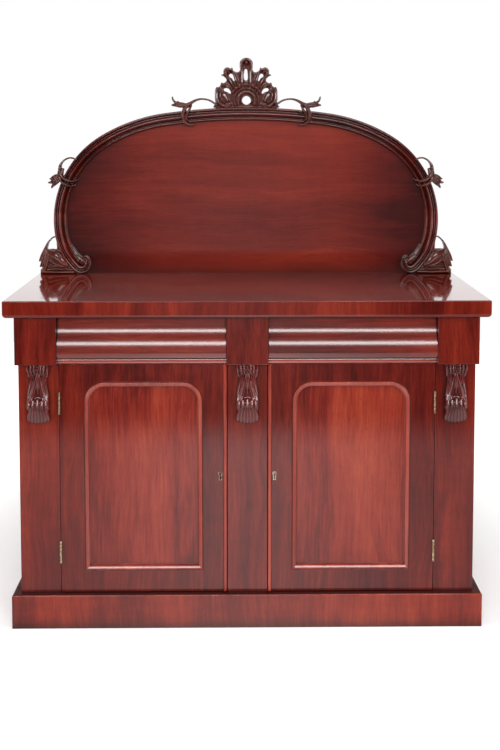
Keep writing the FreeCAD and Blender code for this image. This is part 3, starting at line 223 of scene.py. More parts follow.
def studio_room():
    """White behind the object and wherever the camera looks past it, and a dim room with a soft
    glow in front."""
    world = bpy.data.worlds.new("studio_room")
    bpy.context.scene.world = world
    world.use_nodes = True
    tree = world.node_tree
    tree.nodes.clear()
    seen, glossy = ray_kinds(tree)
    across, depth, rise = split(tree, node(tree, "TexCoord").outputs["Generated"])
    height = times(tree, plus(tree, rise, GLOW_DROP), GLOW_FLATTENED)
    off_middle = length(tree, node(tree, "CombineXYZ", {0: across, 1: height}).outputs[0])
    front = span(tree, off_middle, 0.0, GLOW_REACH, ROOM_GLOW, ROOM_FRONT)
    behind = span(tree, depth, BACKDROP_FROM, BACKDROP_FULL)
    low_band = times(tree, span(tree, rise, *SHINE_FOOT), span(tree, rise, *SHINE_TOP))
    white = plus(tree, WHITE, times(tree, low_band, BACKDROP_SHINE))
    backdrop = plus(tree, front, times(tree, behind, white))
    reflected = times(tree, glossy, backdrop)
    unreflected = minus(tree, 1.0, glossy)
    level = plus(tree, reflected, times(tree, unreflected, ROOM_DIFFUSE))
    level = greater(tree, level, times(tree, seen, WHITE))
    shader = node(tree, "Background", {"Color": (1, 1, 1, 1), "Strength": level})
    node(tree, "OutputWorld", {"Surface": shader.outputs[0]})


def floor_finish():
    """White paper that keeps a soft shadow near the object and fades out in front; its reflection is
    brightest along the middle."""
    made, tree = new_material("studio_floor")
    seen, glossy = ray_kinds(tree)
    place = own_place(tree)
    across, along, _ = split(tree, place)
    mottle = noise(tree, place, FLOOR_MOTTLE_SCALE)
    patch = span(tree, mottle, *MOST, FLOOR_TONE - FLOOR_MOTTLE, FLOOR_TONE + FLOOR_MOTTLE)
    tone = node(tree, "CombineColor", {0: patch, 1: patch, 2: patch}).outputs[0]
    paper = node(tree, "BsdfDiffuse", {"Color": tone, "Roughness": 1.0})
    gloss = span(tree, positive(tree, across), *FLOOR_GLOSS)
    lift = times(tree, seen, span(tree, length(tree, place), *FLOOR_LIFT))
    lift = greater(tree, lift, times(tree, glossy, gloss))
    glow = node(tree, "Emission", {"Color": (1, 1, 1, 1), "Strength": lift})
    lit = node(tree, "AddShader", {0: paper.outputs[0], 1: glow.outputs[0]})
    clear = node(tree, "BsdfTransparent")
    present = span(tree, along, *FLOOR_FADE)
    show(tree, "MixShader", {0: present, 1: clear.outputs[0], 2: lit.outputs[0]})
    return made


def studio_floor():
    mesh = bpy.data.meshes.new("studio_floor")
    near = [(-FLOOR_SIDE, FLOOR_FRONT, 0), (FLOOR_SIDE, FLOOR_FRONT, 0)]
    far = [(FLOOR_SIDE, FLOOR_BACK, 0), (-FLOOR_SIDE, FLOOR_BACK, 0)]
    mesh.from_pydata([*near, *far], [], [(0, 1, 2, 3)])
    mesh.materials.append(floor_finish())
    new_object("studio_floor", mesh)


def lamp(name, place, aim, size, radiance, side=1):
    """A soft box of that size, aimed at a point, whose face has that radiance. The side mirrors it."""
    data = bpy.data.lights.new(name, "AREA")
    data.shape = "RECTANGLE"
    data.size, data.size_y = size
    data.energy = radiance * math.pi * size[0] * size[1]
    made = new_object(name, data)
    made.location = (side * place[0], *place[1:])
    made.rotation_euler = (Vector(aim) - made.location).to_track_quat("-Z", "Y").to_euler()
    made.visible_camera = False
    return made


def studio_lamps():
    lamp("lamp_front", *FRONT_LAMP)
    lamp("lamp_above", *ABOVE_LAMP)
    for side in (-1, 1):
        lamp("lamp_side", *SIDE_LAMP, side)
        lamp("lamp_back", *BACK_LAMP, side).visible_glossy = False


# Finishes. A grain is how each axis is scaled: small along the grain. Tones run from dark to light.

UPRIGHT = (1.0, 1.0, 0.055)
LEVEL = (0.055, 1.0, 1.0)
FROM_FRONT = (1.0, 0.055, 1.0)

RED_WOOD = (
    (0.10, (0.050, 0.0022, 0.0016)),
    (0.36, (0.135, 0.0075, 0.0035)),
    (0.56, (0.220, 0.0165, 0.0070)),
    (0.76, (0.320, 0.0300, 0.0120)),
    (0.95, (0.430, 0.0540, 0.0200)),
)
PLINTH_WOOD = (
    (0.10, (0.085, 0.0045, 0.0025)),
    (0.36, (0.200, 0.0135, 0.0060)),
    (0.56, (0.310, 0.0270, 0.0105)),
    (0.76, (0.420, 0.0460, 0.0170)),
    (0.95, (0.520, 0.0760, 0.0280)),
)
PANEL_WOOD = (
    (0.10, (0.100, 0.0060, 0.0042)),
    (0.36, (0.235, 0.0180, 0.0095)),
    (0.56, (0.345, 0.0360, 0.0175)),
    (0.76, (0.440, 0.0590, 0.0265)),
    (0.95, (0.520, 0.0860, 0.0370)),
)
BEAD_WOOD = (
    (0.10, (0.160, 0.0100, 0.0060)),
    (0.40, (0.340, 0.0300, 0.0150)),
    (0.65, (0.480, 0.0580, 0.0280)),
    (0.90, (0.600, 0.1000, 0.0480)),
)
ARCH_WOOD = (
    (0.10, (0.028, 0.0022, 0.0016)),
    (0.36, (0.085, 0.0065, 0.0036)),
    (0.56, (0.150, 0.0130, 0.0065)),
    (0.76, (0.230, 0.0240, 0.0110)),
    (0.95, (0.320, 0.0420, 0.0180)),
)
CARVED_WOOD = (
    (0.10, (0.022, 0.0030, 0.0020)),
    (0.38, (0.060, 0.0095, 0.0058)),
    (0.60, (0.105, 0.0175, 0.0100)),
    (0.88, (0.165, 0.0320, 0.0180)),
)
CORBEL_WOOD = (
    (0.10, (0.045, 0.0012, 0.0008)),
    (0.38, (0.085, 0.0040, 0.0028)),
    (0.60, (0.135, 0.0105, 0.0080)),
    (0.88, (0.215, 0.0300, 0.0230)),
)
PINE = (
    (0.25, (0.250, 0.120, 0.050)),
    (0.45, (0.410, 0.225, 0.105)),
    (0.60, (0.510, 0.305, 0.155)),
    (0.80, (0.610, 0.405, 0.235)),
)

# The back boards stand side by side in one node, each lapped behind the next.
BACK_BOARD_PITCH = 0.2242
BACK_BOARDS_START = -0.560
BACK_BOARD_LAP = 0.0085
BACK_LAP_PLANE = 0.2315

BOARD_SHIFT = 17.0
WANDER_SCALE, WANDER_DETAIL = 3.0, 2.0
EDGE_SAMPLES = 6
EDGE_STRAIGHT, EDGE_TURNED = 0.99, 0.80
WOOD_EDGE, METAL_EDGE = 0.0012, 0.0006


def board_chance(tree):
    """A number of each object's own."""
    return node(tree, "ObjectInfo").outputs["Random"]


def back_board_chance(tree):
    """A number of each back board's own."""
    across, depth, _ = split(tree, own_place(tree))
    lap = times(tree, maths("GREATER_THAN", tree, depth, BACK_LAP_PLANE), BACK_BOARD_LAP)
    from_start = minus(tree, minus(tree, across, BACK_BOARDS_START), lap)
    index = maths("FLOOR", tree, maths("DIVIDE", tree, from_start, BACK_BOARD_PITCH))
    index = greater(tree, index, 0.0)
    return node(tree, "TexWhiteNoise", {"W": index}, noise_dimensions="1D").outputs["Value"]


def place_in_board(tree, chance):
    """A place in the wood that differs from board to board."""
    shift = times(tree, chance, BOARD_SHIFT)
    offset = node(tree, "CombineXYZ", {0: shift, 1: shift, 2: shift}).outputs[0]
    return vectors(tree, "ADD", own_place(tree), offset)[0]


def wandering(tree, place, reach):
    """The place, moved about slowly so that the grain wanders."""
    inputs = {"Vector": place, "Scale": WANDER_SCALE, "Detail": WANDER_DETAIL}
    drift = node(tree, "TexNoise", inputs).outputs["Color"]
    centred = vectors(tree, "SUBTRACT", drift, (0.5, 0.5, 0.5))[0]
    moved = node(tree, "VectorMath", {0: centred, "Scale": reach}, operation="SCALE").outputs[0]
    return vectors(tree, "ADD", place, moved)[0]


def softened_arrises(tree, radius):
    """A softened normal for the arrises, and how near the surface is to one."""
    soft = node(tree, "Bevel", {"Radius": radius}, samples=EDGE_SAMPLES).outputs[0]
    true = node(tree, "NewGeometry").outputs["Normal"]
    straight = vectors(tree, "DOT_PRODUCT", soft, true)["Value"]
    return soft, span(tree, straight, EDGE_STRAIGHT, EDGE_TURNED)


# Figure of a wood: the strength of its bands, streaks, ripple and clouds, and of tone by board.
STREAKY = (0.75, 0.50, 0.12, 0.85)
QUIET = (0.35, 0.25, 0.06, 0.75)
MOTTLED = (0.45, 0.65, 0.10, 1.35)
LIVELY = (0.70, 0.45, 0.25, 1.30)
BOARD_TONE = 0.10
# Noises of the figure: scale, detail, roughness, distortion.
BANDS = (34.0, 4.0, 0.62, 0.5)
STREAKS = (190.0, 3.0, 0.6)
PORES = (1300.0, 1.0)
RIPPLE = (42.0, 2.0, 0.5)
CLOUD = (7.0, 3.0, 0.5, 0.4)
WAVES = (9.0, 2.0)
RIPPLE_SQUASH = 0.25
PORE_DARKNESS = 0.35
AIR_SAMPLES = 6
# What roughens the polish, in units of the bump's distance.
WAVE_HEIGHT, PORE_DEPTH, STREAK_HEIGHT = 12.0, 1.2, 0.8
WOOD_BUMP = (1.0, 0.00001)
EDGE_CONTRAST = 1.7
# Where each begins and is full: flat faces, pores, relief, painted shade at ends, in crevices, on ledges.
LYING = (0.45, 0.55)
PORE = (0.60, 0.70)
RELIEF = (0.42, 0.58)
DARK_ENDS = (0.24, 0.56)
ENCLOSED = (0.92, 0.40)
LEDGE = (0.80, 0.97)
# Roughness under the polish; painted shade in crevices, on ledges; filler; worn arrises with painted
# highlight.
POLISHED = (0.29, 0.39)
PAINTED_SHADE = (0.012, 0.0022, 0.0016, 1)
LEDGE_PAINTED_SHADE = (0.045, 0.0030, 0.0020, 1)
PORE_FILLER = (0.012, 0.002, 0.0015, 1)
EDGE_WEAR_AND_HIGHLIGHT = (0.36, 0.05, 0.022, 1)


def wood_figure(tree, place, chance, grain, edge_grain, wander, figure, shade):
    """The wood's tone, streaks and filled pores. Upright faces may have a grain of their own."""
    wandered = wandering(tree, place, wander)
    along = scaled(tree, wandered, grain)
    slow = scaled(tree, wandered, tuple(math.sqrt(step) for step in grain))
    across = scaled(tree, wandered, tuple(RIPPLE_SQUASH if step == 1.0 else 1.0 for step in grain))
    if edge_grain:
        flat = span(tree, positive(tree, facing_up(tree)), *LYING)
        edge_along = scaled(tree, wandered, edge_grain)
        along = mix_places(tree, flat, edge_along, along)
        slow = mix_places(tree, flat, edge_along, slow)
    bands = noise(tree, along, *BANDS)
    streaks = noise(tree, along, *STREAKS)
    pores = span(tree, noise(tree, along, *PORES), *PORE)
    ripple = noise(tree, across, *RIPPLE)
    cloud = noise(tree, slow, *CLOUD)
    tone = 0.5 - shade
    for part, weight in zip((bands, streaks, ripple, cloud, chance), (*figure, BOARD_TONE)):
        tone = plus(tree, tone, times(tree, minus(tree, part, 0.5), weight))
    if edge_grain:
        contrast = minus(tree, EDGE_CONTRAST, times(tree, flat, EDGE_CONTRAST - 1))
        tone = plus(tree, times(tree, minus(tree, tone, 0.5), contrast), 0.5)
    return tone, streaks, pores


def wood(
    name, grain, tones, figure=STREAKY, edge_grain=None, wander=0.05, shade=0.0, hollows=0.0,
    painted_end_shade=0.0, wear_and_highlight=0.35, crevice=0.011, painted_shade=0.9, ledge=0.0, lustre=0.08, polish=0.09, gloss=1.5,
):
    """Polished wood whose arrises are lighter, for wear and as painted highlight, with painted shade in
    crevices. Hollows may be darker, painted shade may darken a board's ends, and painted shade may
    darken and dull the faces that look up (ledge)."""
    made, tree = new_material(f"mahogany_{name}")
    chance = board_chance(tree)
    place = place_in_board(tree, chance)
    tone, streaks, pores = wood_figure(tree, place, chance, grain, edge_grain, wander, figure, shade)
    if hollows:
        relief = node(tree, "NewGeometry").outputs["Pointiness"]
        tone = plus(tree, tone, span(tree, relief, *RELIEF, -hollows, hollows))
    # Painted shade: the board darker towards its ends.
    if painted_end_shade:
        off_middle = positive(tree, split(tree, own_place(tree))["X"])
        tone = minus(tree, tone, span(tree, off_middle, *DARK_ENDS, 0.0, painted_end_shade))
    colour = mix(tree, times(tree, pores, PORE_DARKNESS), ramp(tree, tone, *tones), PORE_FILLER)
    soft, edge = softened_arrises(tree, WOOD_EDGE)
    # The arrises lightened: wear, and painted highlight.
    colour = mix(tree, times(tree, edge, wear_and_highlight), colour, EDGE_WEAR_AND_HIGHLIGHT)
    # Painted shade: darker where the surface is enclosed, in crevices and between parts.
    open_air = node(tree, "AmbientOcclusion", {"Distance": crevice}, samples=AIR_SAMPLES).outputs["AO"]
    colour = mix(tree, span(tree, open_air, *ENCLOSED, 0.0, painted_shade), colour, PAINTED_SHADE)
    coat = 1.0
    # Painted shade on the faces that look up: darker, and with less polish.
    if ledge:
        dirt_and_shade = span(tree, facing_up(tree), *LEDGE, 0.0, ledge)
        colour = mix(tree, dirt_and_shade, colour, LEDGE_PAINTED_SHADE)
        coat = minus(tree, 1.0, dirt_and_shade)
        lustre = times(tree, coat, lustre)
    height = times(tree, noise(tree, place, *WAVES), WAVE_HEIGHT)
    height = minus(tree, height, times(tree, pores, PORE_DEPTH))
    height = plus(tree, height, times(tree, streaks, STREAK_HEIGHT))
    normal = roughened(tree, height, *WOOD_BUMP, soft)
    show(tree, "BsdfPrincipled", {
        "Base Color": colour,
        "Roughness": span(tree, streaks, *MOST, *POLISHED),
        "Specular IOR Level": lustre,
        "Coat Weight": coat,
        "Coat Roughness": polish,
        "Coat IOR": gloss,
        "Normal": normal,
        "Coat Normal": normal,
    })
    return made


# Bare wood: its noises, its tone and its surface.
PINE_BANDS = (26.0, 4.0, 0.55, 0.6)
PINE_FIBRES = (420.0, 3.0, 0.6)
PINE_STAINS = (5.0, 4.0, 0.6)
PINE_WANDER = 0.06
BAND_SHARE, FIBRE_SHARE = 0.65, 0.35
PINE_BOARD_TONE = 0.16
PINE_DIRT = (0.16, 0.085, 0.045, 1)
PINE_DIRT_SHARE = 0.35
PINE_BAND_HEIGHT = 1.5
PINE_BUMP = (0.6, 0.0002)
PINE_LUSTRE = 0.3
PINE_STAINED = (0.50, 0.75)
PINE_ROUGHNESS = (0.62, 0.82)


def bare_wood(name, grain, number=board_chance):
    """Unpolished secondary wood. The number tells its boards apart."""
    made, tree = new_material(f"pine_{name}")
    chance = number(tree)
    place = place_in_board(tree, chance)
    along = scaled(tree, wandering(tree, place, PINE_WANDER), grain)
    bands = noise(tree, along, *PINE_BANDS)
    fibres = noise(tree, along, *PINE_FIBRES)
    stains = noise(tree, place, *PINE_STAINS)
    tone = plus(tree, times(tree, bands, BAND_SHARE), times(tree, fibres, FIBRE_SHARE))
    tone = plus(tree, tone, times(tree, minus(tree, chance, 0.5), PINE_BOARD_TONE))
    soft, edge = softened_arrises(tree, WOOD_EDGE)
    stained = span(tree, stains, *PINE_STAINED, 0.0, PINE_DIRT_SHARE)
    dirt_and_shade = greater(tree, stained, times(tree, edge, PINE_DIRT_SHARE))
    height = plus(tree, fibres, times(tree, bands, PINE_BAND_HEIGHT))
    show(tree, "BsdfPrincipled", {
        "Base Color": mix(tree, dirt_and_shade, ramp(tree, tone, *PINE), PINE_DIRT),
        "Roughness": span(tree, fibres, *MOST, *PINE_ROUGHNESS),
        "Specular IOR Level": PINE_LUSTRE,
        "Normal": roughened(tree, height, *PINE_BUMP, soft),
    })
    return made


# Metals: bright and dull colour, roughness when bright and when dull, and scale of the tarnish.
WORN_BRASS = ((0.88, 0.78, 0.60), (0.46, 0.34, 0.20), 0.22, 0.45, 160.0)
TARNISHED_BRASS = ((0.74, 0.54, 0.34), (0.24, 0.13, 0.07), 0.26, 0.50, 220.0)
DULL_IRON = ((0.42, 0.41, 0.39), (0.12, 0.105, 0.095), 0.35, 0.60, 120.0)
TARNISH = (5.0, 0.65)
SCRATCHES = (2600.0, 2.0, 0.7)
SCRATCH_GRAIN = (1.0, 1.0, 0.05)
SCRATCH_ROUGHNESS = 0.08
METAL_BUMP = (0.3, 0.00005)
RUBBED, WORN = (0.42, 0.60), (0.35, 0.65)


def metal(name, bright, dull, rough_low, rough_high, tarnish_scale):
    """Worn metal: bright where rubbed, dull in patches, with fine scratches."""
    made, tree = new_material(name)
    place = own_place(tree)
    patches = noise(tree, place, tarnish_scale, *TARNISH)
    scratches = noise(tree, scaled(tree, place, SCRATCH_GRAIN), *SCRATCHES)
    soft, edge = softened_arrises(tree, METAL_EDGE)
    worn = greater(tree, span(tree, patches, *RUBBED), edge)
    rough = span(tree, patches, *WORN, rough_high, rough_low)
    rough = plus(tree, rough, times(tree, scratches, SCRATCH_ROUGHNESS))
    show(tree, "BsdfPrincipled", {
        "Base Color": mix(tree, worn, (*dull, 1), (*bright, 1)),
        "Metallic": 1.0,
        "Roughness": rough,
        "Normal": roughened(tree, scratches, *METAL_BUMP, soft),
    })
    return made


def paint(material, *names):
    for name in names:
        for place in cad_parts[name].material_slots:
            place.material = material


def both(*names):
    return [f"{side}_{name}" for name in names for side in ("left", "right")]


# Carved and moulded pieces. Their tables are in millimetres.

MM = 0.001


def spline_part(four, steps):
    """The run from the second of four points towards the third, by Catmull-Rom."""
    part = []
    for step in range(steps):
        t = step / steps
        part.append(tuple(
            0.5 * (2 * b + (c - a) * t + (2 * a - 5 * b + 4 * c - d) * t * t
                   + (3 * b - a - 3 * c + d) * t ** 3)
            for a, b, c, d in zip(*four)
        ))
    return part


def spline(points, steps):
    """A smooth run through points of any length."""
    ends = [points[0], *points, points[-1]]
    run = []
    for four in zip(ends, ends[1:], ends[2:], ends[3:]):
        run += spline_part(four, steps)
    return [*run, tuple(points[-1])]


def closed_curve(points, steps=5):
    """A smooth closed outline through points."""
    size = len(points)
    run = []
    for index in range(size):
        run += spline_part([points[(index + step) % size] for step in (-1, 0, 1, 2)], steps)
    return run


# Strands: points across, steps between two points, how they end, and how wide a vein is.
RING = 11
STRAND_STEPS = 7
END_WIDTH, END_DEPTH = 0.35, 0.7
VEIN_WIDTH = 0.28
# Rings of a knob and points round it, how carving is softened, and how near points are joined.
KNOB_RINGS, KNOB_AROUND = 6, 16
SOFTENING, SOFTENINGS = 0.5, 2
JOIN_REACH = 0.02 * MM


def strip(near, far, size):
    """The faces between two closed rings of that many vertices."""
    steps = [(step, (step + 1) % size) for step in range(size)]
    return [(near + step, near + after, far + after, far + step) for step, after in steps]


def strand(points, back, vein=0.0, flat=2.0, base=0.25):
    """A carved strand as (vertices, faces), through points of (across, up, half width, depth). It
    stands forward of the back plane by its depth: a base share all over, and a crown cut by a vein,
    which is squarer the flatter it is."""
    run = spline(points, STRAND_STEPS)
    vertices = []
    for index, (x, z, width, depth) in enumerate(run):
        before, after = run[max(index - 1, 0)], run[min(index + 1, len(run) - 1)]
        apart = math.hypot(after[0] - before[0], after[1] - before[1]) or 1.0
        side = (-(after[1] - before[1]) / apart, (after[0] - before[0]) / apart)
        taper = END_WIDTH if index in (0, len(run) - 1) else 1.0
        for step in range(RING):
            share = 2 * step / (RING - 1) - 1
            crown = (1 - abs(share) ** flat) ** 0.5
            cut = vein * math.exp(-((share / VEIN_WIDTH) ** 2))
            reach = width * taper * share
            forward = depth * (base + (1 - base) * crown * (1 - cut)) * max(taper, END_DEPTH)
            vertices.append((x + side[0] * reach, back - forward, z + side[1] * reach))
        vertices.append((x + side[0] * width * taper, back, z + side[1] * width * taper))
        vertices.append((x - side[0] * width * taper, back, z - side[1] * width * taper))
    size = RING + 2
    last = (len(run) - 1) * size
    faces = []
    for start in range(0, last, size):
        faces += strip(start, start + size, size)
    faces.append(tuple(range(size - 1, -1, -1)))
    faces.append(tuple(range(last, last + size)))
    return vertices, faces


def strands(table, back, **cut):
    return [strand(points, back, **cut) for points in table]


def knob(x, z, across, up, depth, back):
    """A low rounded boss."""
    rings, around = KNOB_RINGS, KNOB_AROUND
    vertices, faces = [], []
    for ring in range(rings):
        rise = math.pi / 2 * ring / rings
        reach, forward = math.cos(rise), depth * math.sin(rise)
        for step in range(around):
            turn = 2 * math.pi * step / around
            off_x, off_z = across * reach * math.cos(turn), up * reach * math.sin(turn)
            vertices.append((x + off_x, back - forward, z + off_z))
    vertices.append((x, back - depth, z))
    top = (rings - 1) * around
    for start in range(0, top, around):
        faces += strip(start, start + around, around)
    faces += [(top + step, top + (step + 1) % around, rings * around) for step in range(around)]
    faces.append(tuple(range(around - 1, -1, -1)))
    return vertices, faces


def plate(outline, holes, front, back):
    """A flat plate with holes."""
    loops = [outline, *holes]
    flat = [Vector((x, z, 0)) for loop in loops for x, z in loop]
    triangles = tessellate_polygon([[Vector((x, z, 0)) for x, z in loop] for loop in loops])
    count = len(flat)
    vertices = [(p.x, front, p.y) for p in flat] + [(p.x, back, p.y) for p in flat]
    faces = [tuple(t) for t in triangles] + [tuple(i + count for i in reversed(t)) for t in triangles]
    start = 0
    for loop in loops:
        faces += strip(start, start + count, len(loop))
        start += len(loop)
    return vertices, faces


def mirrored(shape):
    vertices, faces = shape
    return [(-x, y, z) for x, y, z in vertices], [tuple(reversed(face)) for face in faces]


def moved(shape, across, up):
    vertices, faces = shape
    return [(x + across, y, z + up) for x, y, z in vertices], faces


def both_sides(shapes):
    return [*shapes, *(mirrored(shape) for shape in shapes)]


def pairs(shapes):
    """Each shape followed by its mirror image."""
    return [shape for one in shapes for shape in (one, mirrored(one))]


def mesh_object(name, shapes, joined=False):
    """One mesh object of several shapes, in metres, which may be joined where they meet."""
    vertices, faces = [], []
    for some_vertices, some_faces in shapes:
        start = len(vertices)
        vertices += [(x * MM, y * MM, z * MM) for x, y, z in some_vertices]
        faces += [tuple(index + start for index in face) for face in some_faces]
    mesh = bpy.data.meshes.new(name)
    mesh.from_pydata(vertices, [], faces)
    cleaned = bmesh.new()
    cleaned.from_mesh(mesh)
    if joined:
        bmesh.ops.remove_doubles(cleaned, verts=cleaned.verts, dist=JOIN_REACH)
    bmesh.ops.recalc_face_normals(cleaned, faces=cleaned.faces)
    cleaned.to_mesh(mesh)
    cleaned.free()
    return new_object(name, mesh)


def carved(name, shapes, voxel=1.0, keep=0.5):
    """Shapes worked into one carved solid: merged, softened and thinned out."""
    made = mesh_object(name, shapes)
    merge = made.modifiers.new("merge", "REMESH")
    merge.mode = "VOXEL"
    merge.voxel_size = voxel * MM
    smooth = made.modifiers.new("soften", "SMOOTH")
    smooth.factor, smooth.iterations = SOFTENING, SOFTENINGS
    thin = made.modifiers.new("thin", "DECIMATE")
    thin.ratio = keep
    shaped = made.evaluated_get(bpy.context.evaluated_depsgraph_get())
    mesh = bpy.data.meshes.new_from_object(shaped)
    made.modifiers.clear()
    made.data = mesh
    mesh.shade_smooth()
    return made


def fit(piece, body, slot, material, *nodes):
    piece.data.materials.clear()
    piece.data.materials.append(material)
    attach(piece, body)
    if nodes:
        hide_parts(*nodes)


def carving(replaced, shapes, material, voxel=1.0):
    """A carved piece of the carcass in place of a CAD node."""
    made = carved(f"{replaced}_carved", shapes, voxel)
    fit(made, "carcass", "carved_mahogany", material, replaced)


# The arch: arcs from the crown down, as (middle, radius, first slope, last slope), the slopes
# clockwise from level.
ARCH_HALF_WIDTH = 564.0
TOP_SURFACE = 848.0
FLANK, SHOULDER, FOOT, SCROLL = 289.0, 500.0, 192.0, 37.7
SHOULDER_END, FLANK_END, FOOT_END = (math.radians(angle) for angle in (30.6, 97.3, 134.3))
CROWN_LIFT = 11.6
MOULDING_WIDTH = 38.0
MOULDING_BACK = 210.0


def arch_arcs():
    def step(middle, from_radius, to_radius, slope):
        reach = from_radius - to_radius
        return middle[0] + reach * math.sin(slope), middle[1] + reach * math.cos(slope)

    down = (FLANK - FOOT) * math.cos(FLANK_END) + (FOOT - SCROLL) * math.cos(FOOT_END)
    flank = (ARCH_HALF_WIDTH - FLANK, TOP_SURFACE + SCROLL - down)
    foot = step(flank, FLANK, FOOT, FLANK_END)
    scroll = step(foot, FOOT, SCROLL, FOOT_END)
    shoulder = step(flank, FLANK, SHOULDER, SHOULDER_END)
    crown_end = 2 * math.atan2(CROWN_LIFT, shoulder[0])
    crown_radius = SHOULDER + shoulder[0] / math.sin(crown_end)
    crown = step(shoulder, SHOULDER, crown_radius, crown_end)
    return (
        (crown, crown_radius, 0.0, crown_end),
        (shoulder, SHOULDER, crown_end, SHOULDER_END),
        (flank, FLANK, SHOULDER_END, FLANK_END),
        (foot, FOOT, FLANK_END, FOOT_END),
        (scroll, SCROLL, FOOT_END, math.pi),
    )


ARCS = arch_arcs()
CROWN_TOP = ARCS[0][0][1] + ARCS[0][1]


def arch_edge(slope):
    """The arch's outer edge where it has that slope."""
    for middle, radius, first, last in ARCS:
        if first <= slope <= last:
            return middle[0] + radius * math.sin(slope), middle[1] + radius * math.cos(slope)
    raise ValueError(slope)


# Reeds across the arch moulding from its outer edge: start, width, level at its sides, top level.
# The cove lies before the last one.
REEDS = (
    (0, 8.6, 200, 193.5), (9.4, 4.2, 198, 194.6), (14.2, 9.6, 198.5, 190), (30, 6.4, 204, 198.5),
)
COVE = ((25.4, 202.5), (27.2, 205.3), (29.2, 205.6))
FILLET = ((MOULDING_WIDTH - 1.2, 206.0), (MOULDING_WIDTH, 207.2))
REED_STEPS = 9
ARCH_STEP = 14.0
# The volute: its turn, its size at the end, how fast it shrinks, and what of its height stays or
# shrinks.
VOLUTE_TURN = math.radians(205)
VOLUTE_END = 0.42
VOLUTE_RATE = 1.28
VOLUTE_KEPT, VOLUTE_SHRINKING = 0.55, 0.45
VOLUTE_STEPS = 46
LEAST_RADIUS = 0.6


def moulding_section():
    """The arch moulding's section, as (distance in from the outer edge, level)."""
    section = [(0.0, MOULDING_BACK)]
    for start, width, low, high in REEDS:
        if start == REEDS[-1][0]:
            section += COVE
        for step in range(REED_STEPS):
            turn = math.pi * step / (REED_STEPS - 1)
            section.append((start + width * (1 - math.cos(turn)) / 2, low - (low - high) * math.sin(turn)))
    return [*section, *FILLET, (MOULDING_WIDTH, MOULDING_BACK)]


def moulding_stations():
    """Where the section stands from the crown to the volute: middle, outer radius, slope, shrink."""
    stations = []
    for middle, radius, first, last in ARCS[:-1]:
        count = max(2, math.ceil(radius * (last - first) / ARCH_STEP))
        for step in range(count):
            stations.append((middle, radius, first + (last - first) * step / count, 1.0))
    middle, radius, first, _ = ARCS[-1]
    for step in range(VOLUTE_STEPS + 1):
        share = step / VOLUTE_STEPS
        turned = max(0.0, (share * VOLUTE_TURN - (math.pi - first)) / VOLUTE_TURN)
        shrink = 1 - (1 - VOLUTE_END) * min(1.0, turned * VOLUTE_RATE)
        stations.append((middle, radius * shrink, first + VOLUTE_TURN * share, shrink))
    return stations


def moulding_half():
    section = moulding_section()
    vertices, faces = [], []
    for (middle_x, middle_z), radius, slope, shrink in moulding_stations():
        for inset, level in section:
            reach = max(LEAST_RADIUS, radius - inset * shrink)
            height = (MOULDING_BACK - level) * (VOLUTE_KEPT + VOLUTE_SHRINKING * shrink)
            x, z = middle_x + reach * math.sin(slope), middle_z + reach * math.cos(slope)
            vertices.append((x, MOULDING_BACK - height, z))
    size = len(section)
    last = len(vertices) - size
    for start in range(0, last, size):
        faces += strip(start, start + size, size)
    faces.append(tuple(range(last, last + size)))
    return vertices, faces


# Panel moulding on the doors: section as (distance in from its outer edge, level behind its front).
DOOR_MOULDING = (
    (0, 10), (0, 2.2), (0.4, 3.8), (1.5, 3.8), (1.9, 1.7), (2.6, 0.6), (3.5, 0.1), (4.5, 0.25), (6, 0.95),
    (8, 1.9), (10, 2.87), (11, 3.6), (11.6, 4.8), (11.9, 7), (12.2, 9.5), (14.5, 9.8), (14.5, 10),
)
CORNER_ROUND = 52.0
ROUND_STEPS = 14
DOOR_SHARP = math.radians(26)
ARCH_SHARP = math.radians(50)


def door_moulding_stations(low, high):
    """Round the opening: corner or arc points of the outer edge, with the way in from each."""
    stations = [(low, (1, 1))]
    left, right = low[0] + CORNER_ROUND, high[0] - CORNER_ROUND
    middle_z = high[1] - CORNER_ROUND
    for middle_x, turn in ((left, math.pi), (right, math.pi / 2)):
        for step in range(ROUND_STEPS + 1):
            angle = turn - math.pi / 2 * step / ROUND_STEPS
            way = (math.cos(angle), math.sin(angle))
            place = (middle_x + CORNER_ROUND * way[0], middle_z + CORNER_ROUND * way[1])
            stations.append((place, (-way[0], -way[1])))
    stations.append(((high[0], low[1]), (-1, 1)))
    return stations


def door_mouldings(material):
    """The moulding round each door panel, mitred at the foot and bent round the upper corners."""
    for side in ("left", "right"):
        low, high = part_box(f"{side}_door_moulding")
        stations = door_moulding_stations((low[0] / MM, low[2] / MM), (high[0] / MM, high[2] / MM))
        front = low[1] / MM
        vertices = [
            (place[0] + inset * way[0], front + level, place[1] + inset * way[1])
            for place, way in stations
            for inset, level in DOOR_MOULDING
        ]
        size, faces = len(DOOR_MOULDING), []
        for start in range(0, len(vertices), size):
            faces += strip(start, (start + size) % len(vertices), size)
        made = mesh_object(f"{side}_panel_moulding", [(vertices, faces)])
        made.data.shade_smooth()
        made.data.set_sharp_from_angle(angle=DOOR_SHARP)
        fit(made, f"{side}_door", "mahogany", material, f"{side}_door_moulding")


# Scroll leaf, its rib (moved, narrowed, raised) and the volute's eye: right side.
SCROLL_LEAF = (
    (513, 934, 2, 12), (504, 917, 4, 17), (494, 901, 5.4, 20), (481, 888, 6.2, 21), (466, 879, 5, 19),
)
SCROLL_RIB = (4, 3, 0.45, 1)
SCROLL_EYE = (480.5, 884.5, 13, 13, 17)
SCROLL_BACK = 209


def arch_moulding(material):
    """The reeded arch, its two halves joined at the crown, each ending in a volute."""
    made = mesh_object("arch_moulding_reeded", both_sides([moulding_half()]), joined=True)
    made.data.shade_smooth()
    made.data.set_sharp_from_angle(angle=ARCH_SHARP)
    fit(made, "carcass", "mahogany", material, "arch_moulding")


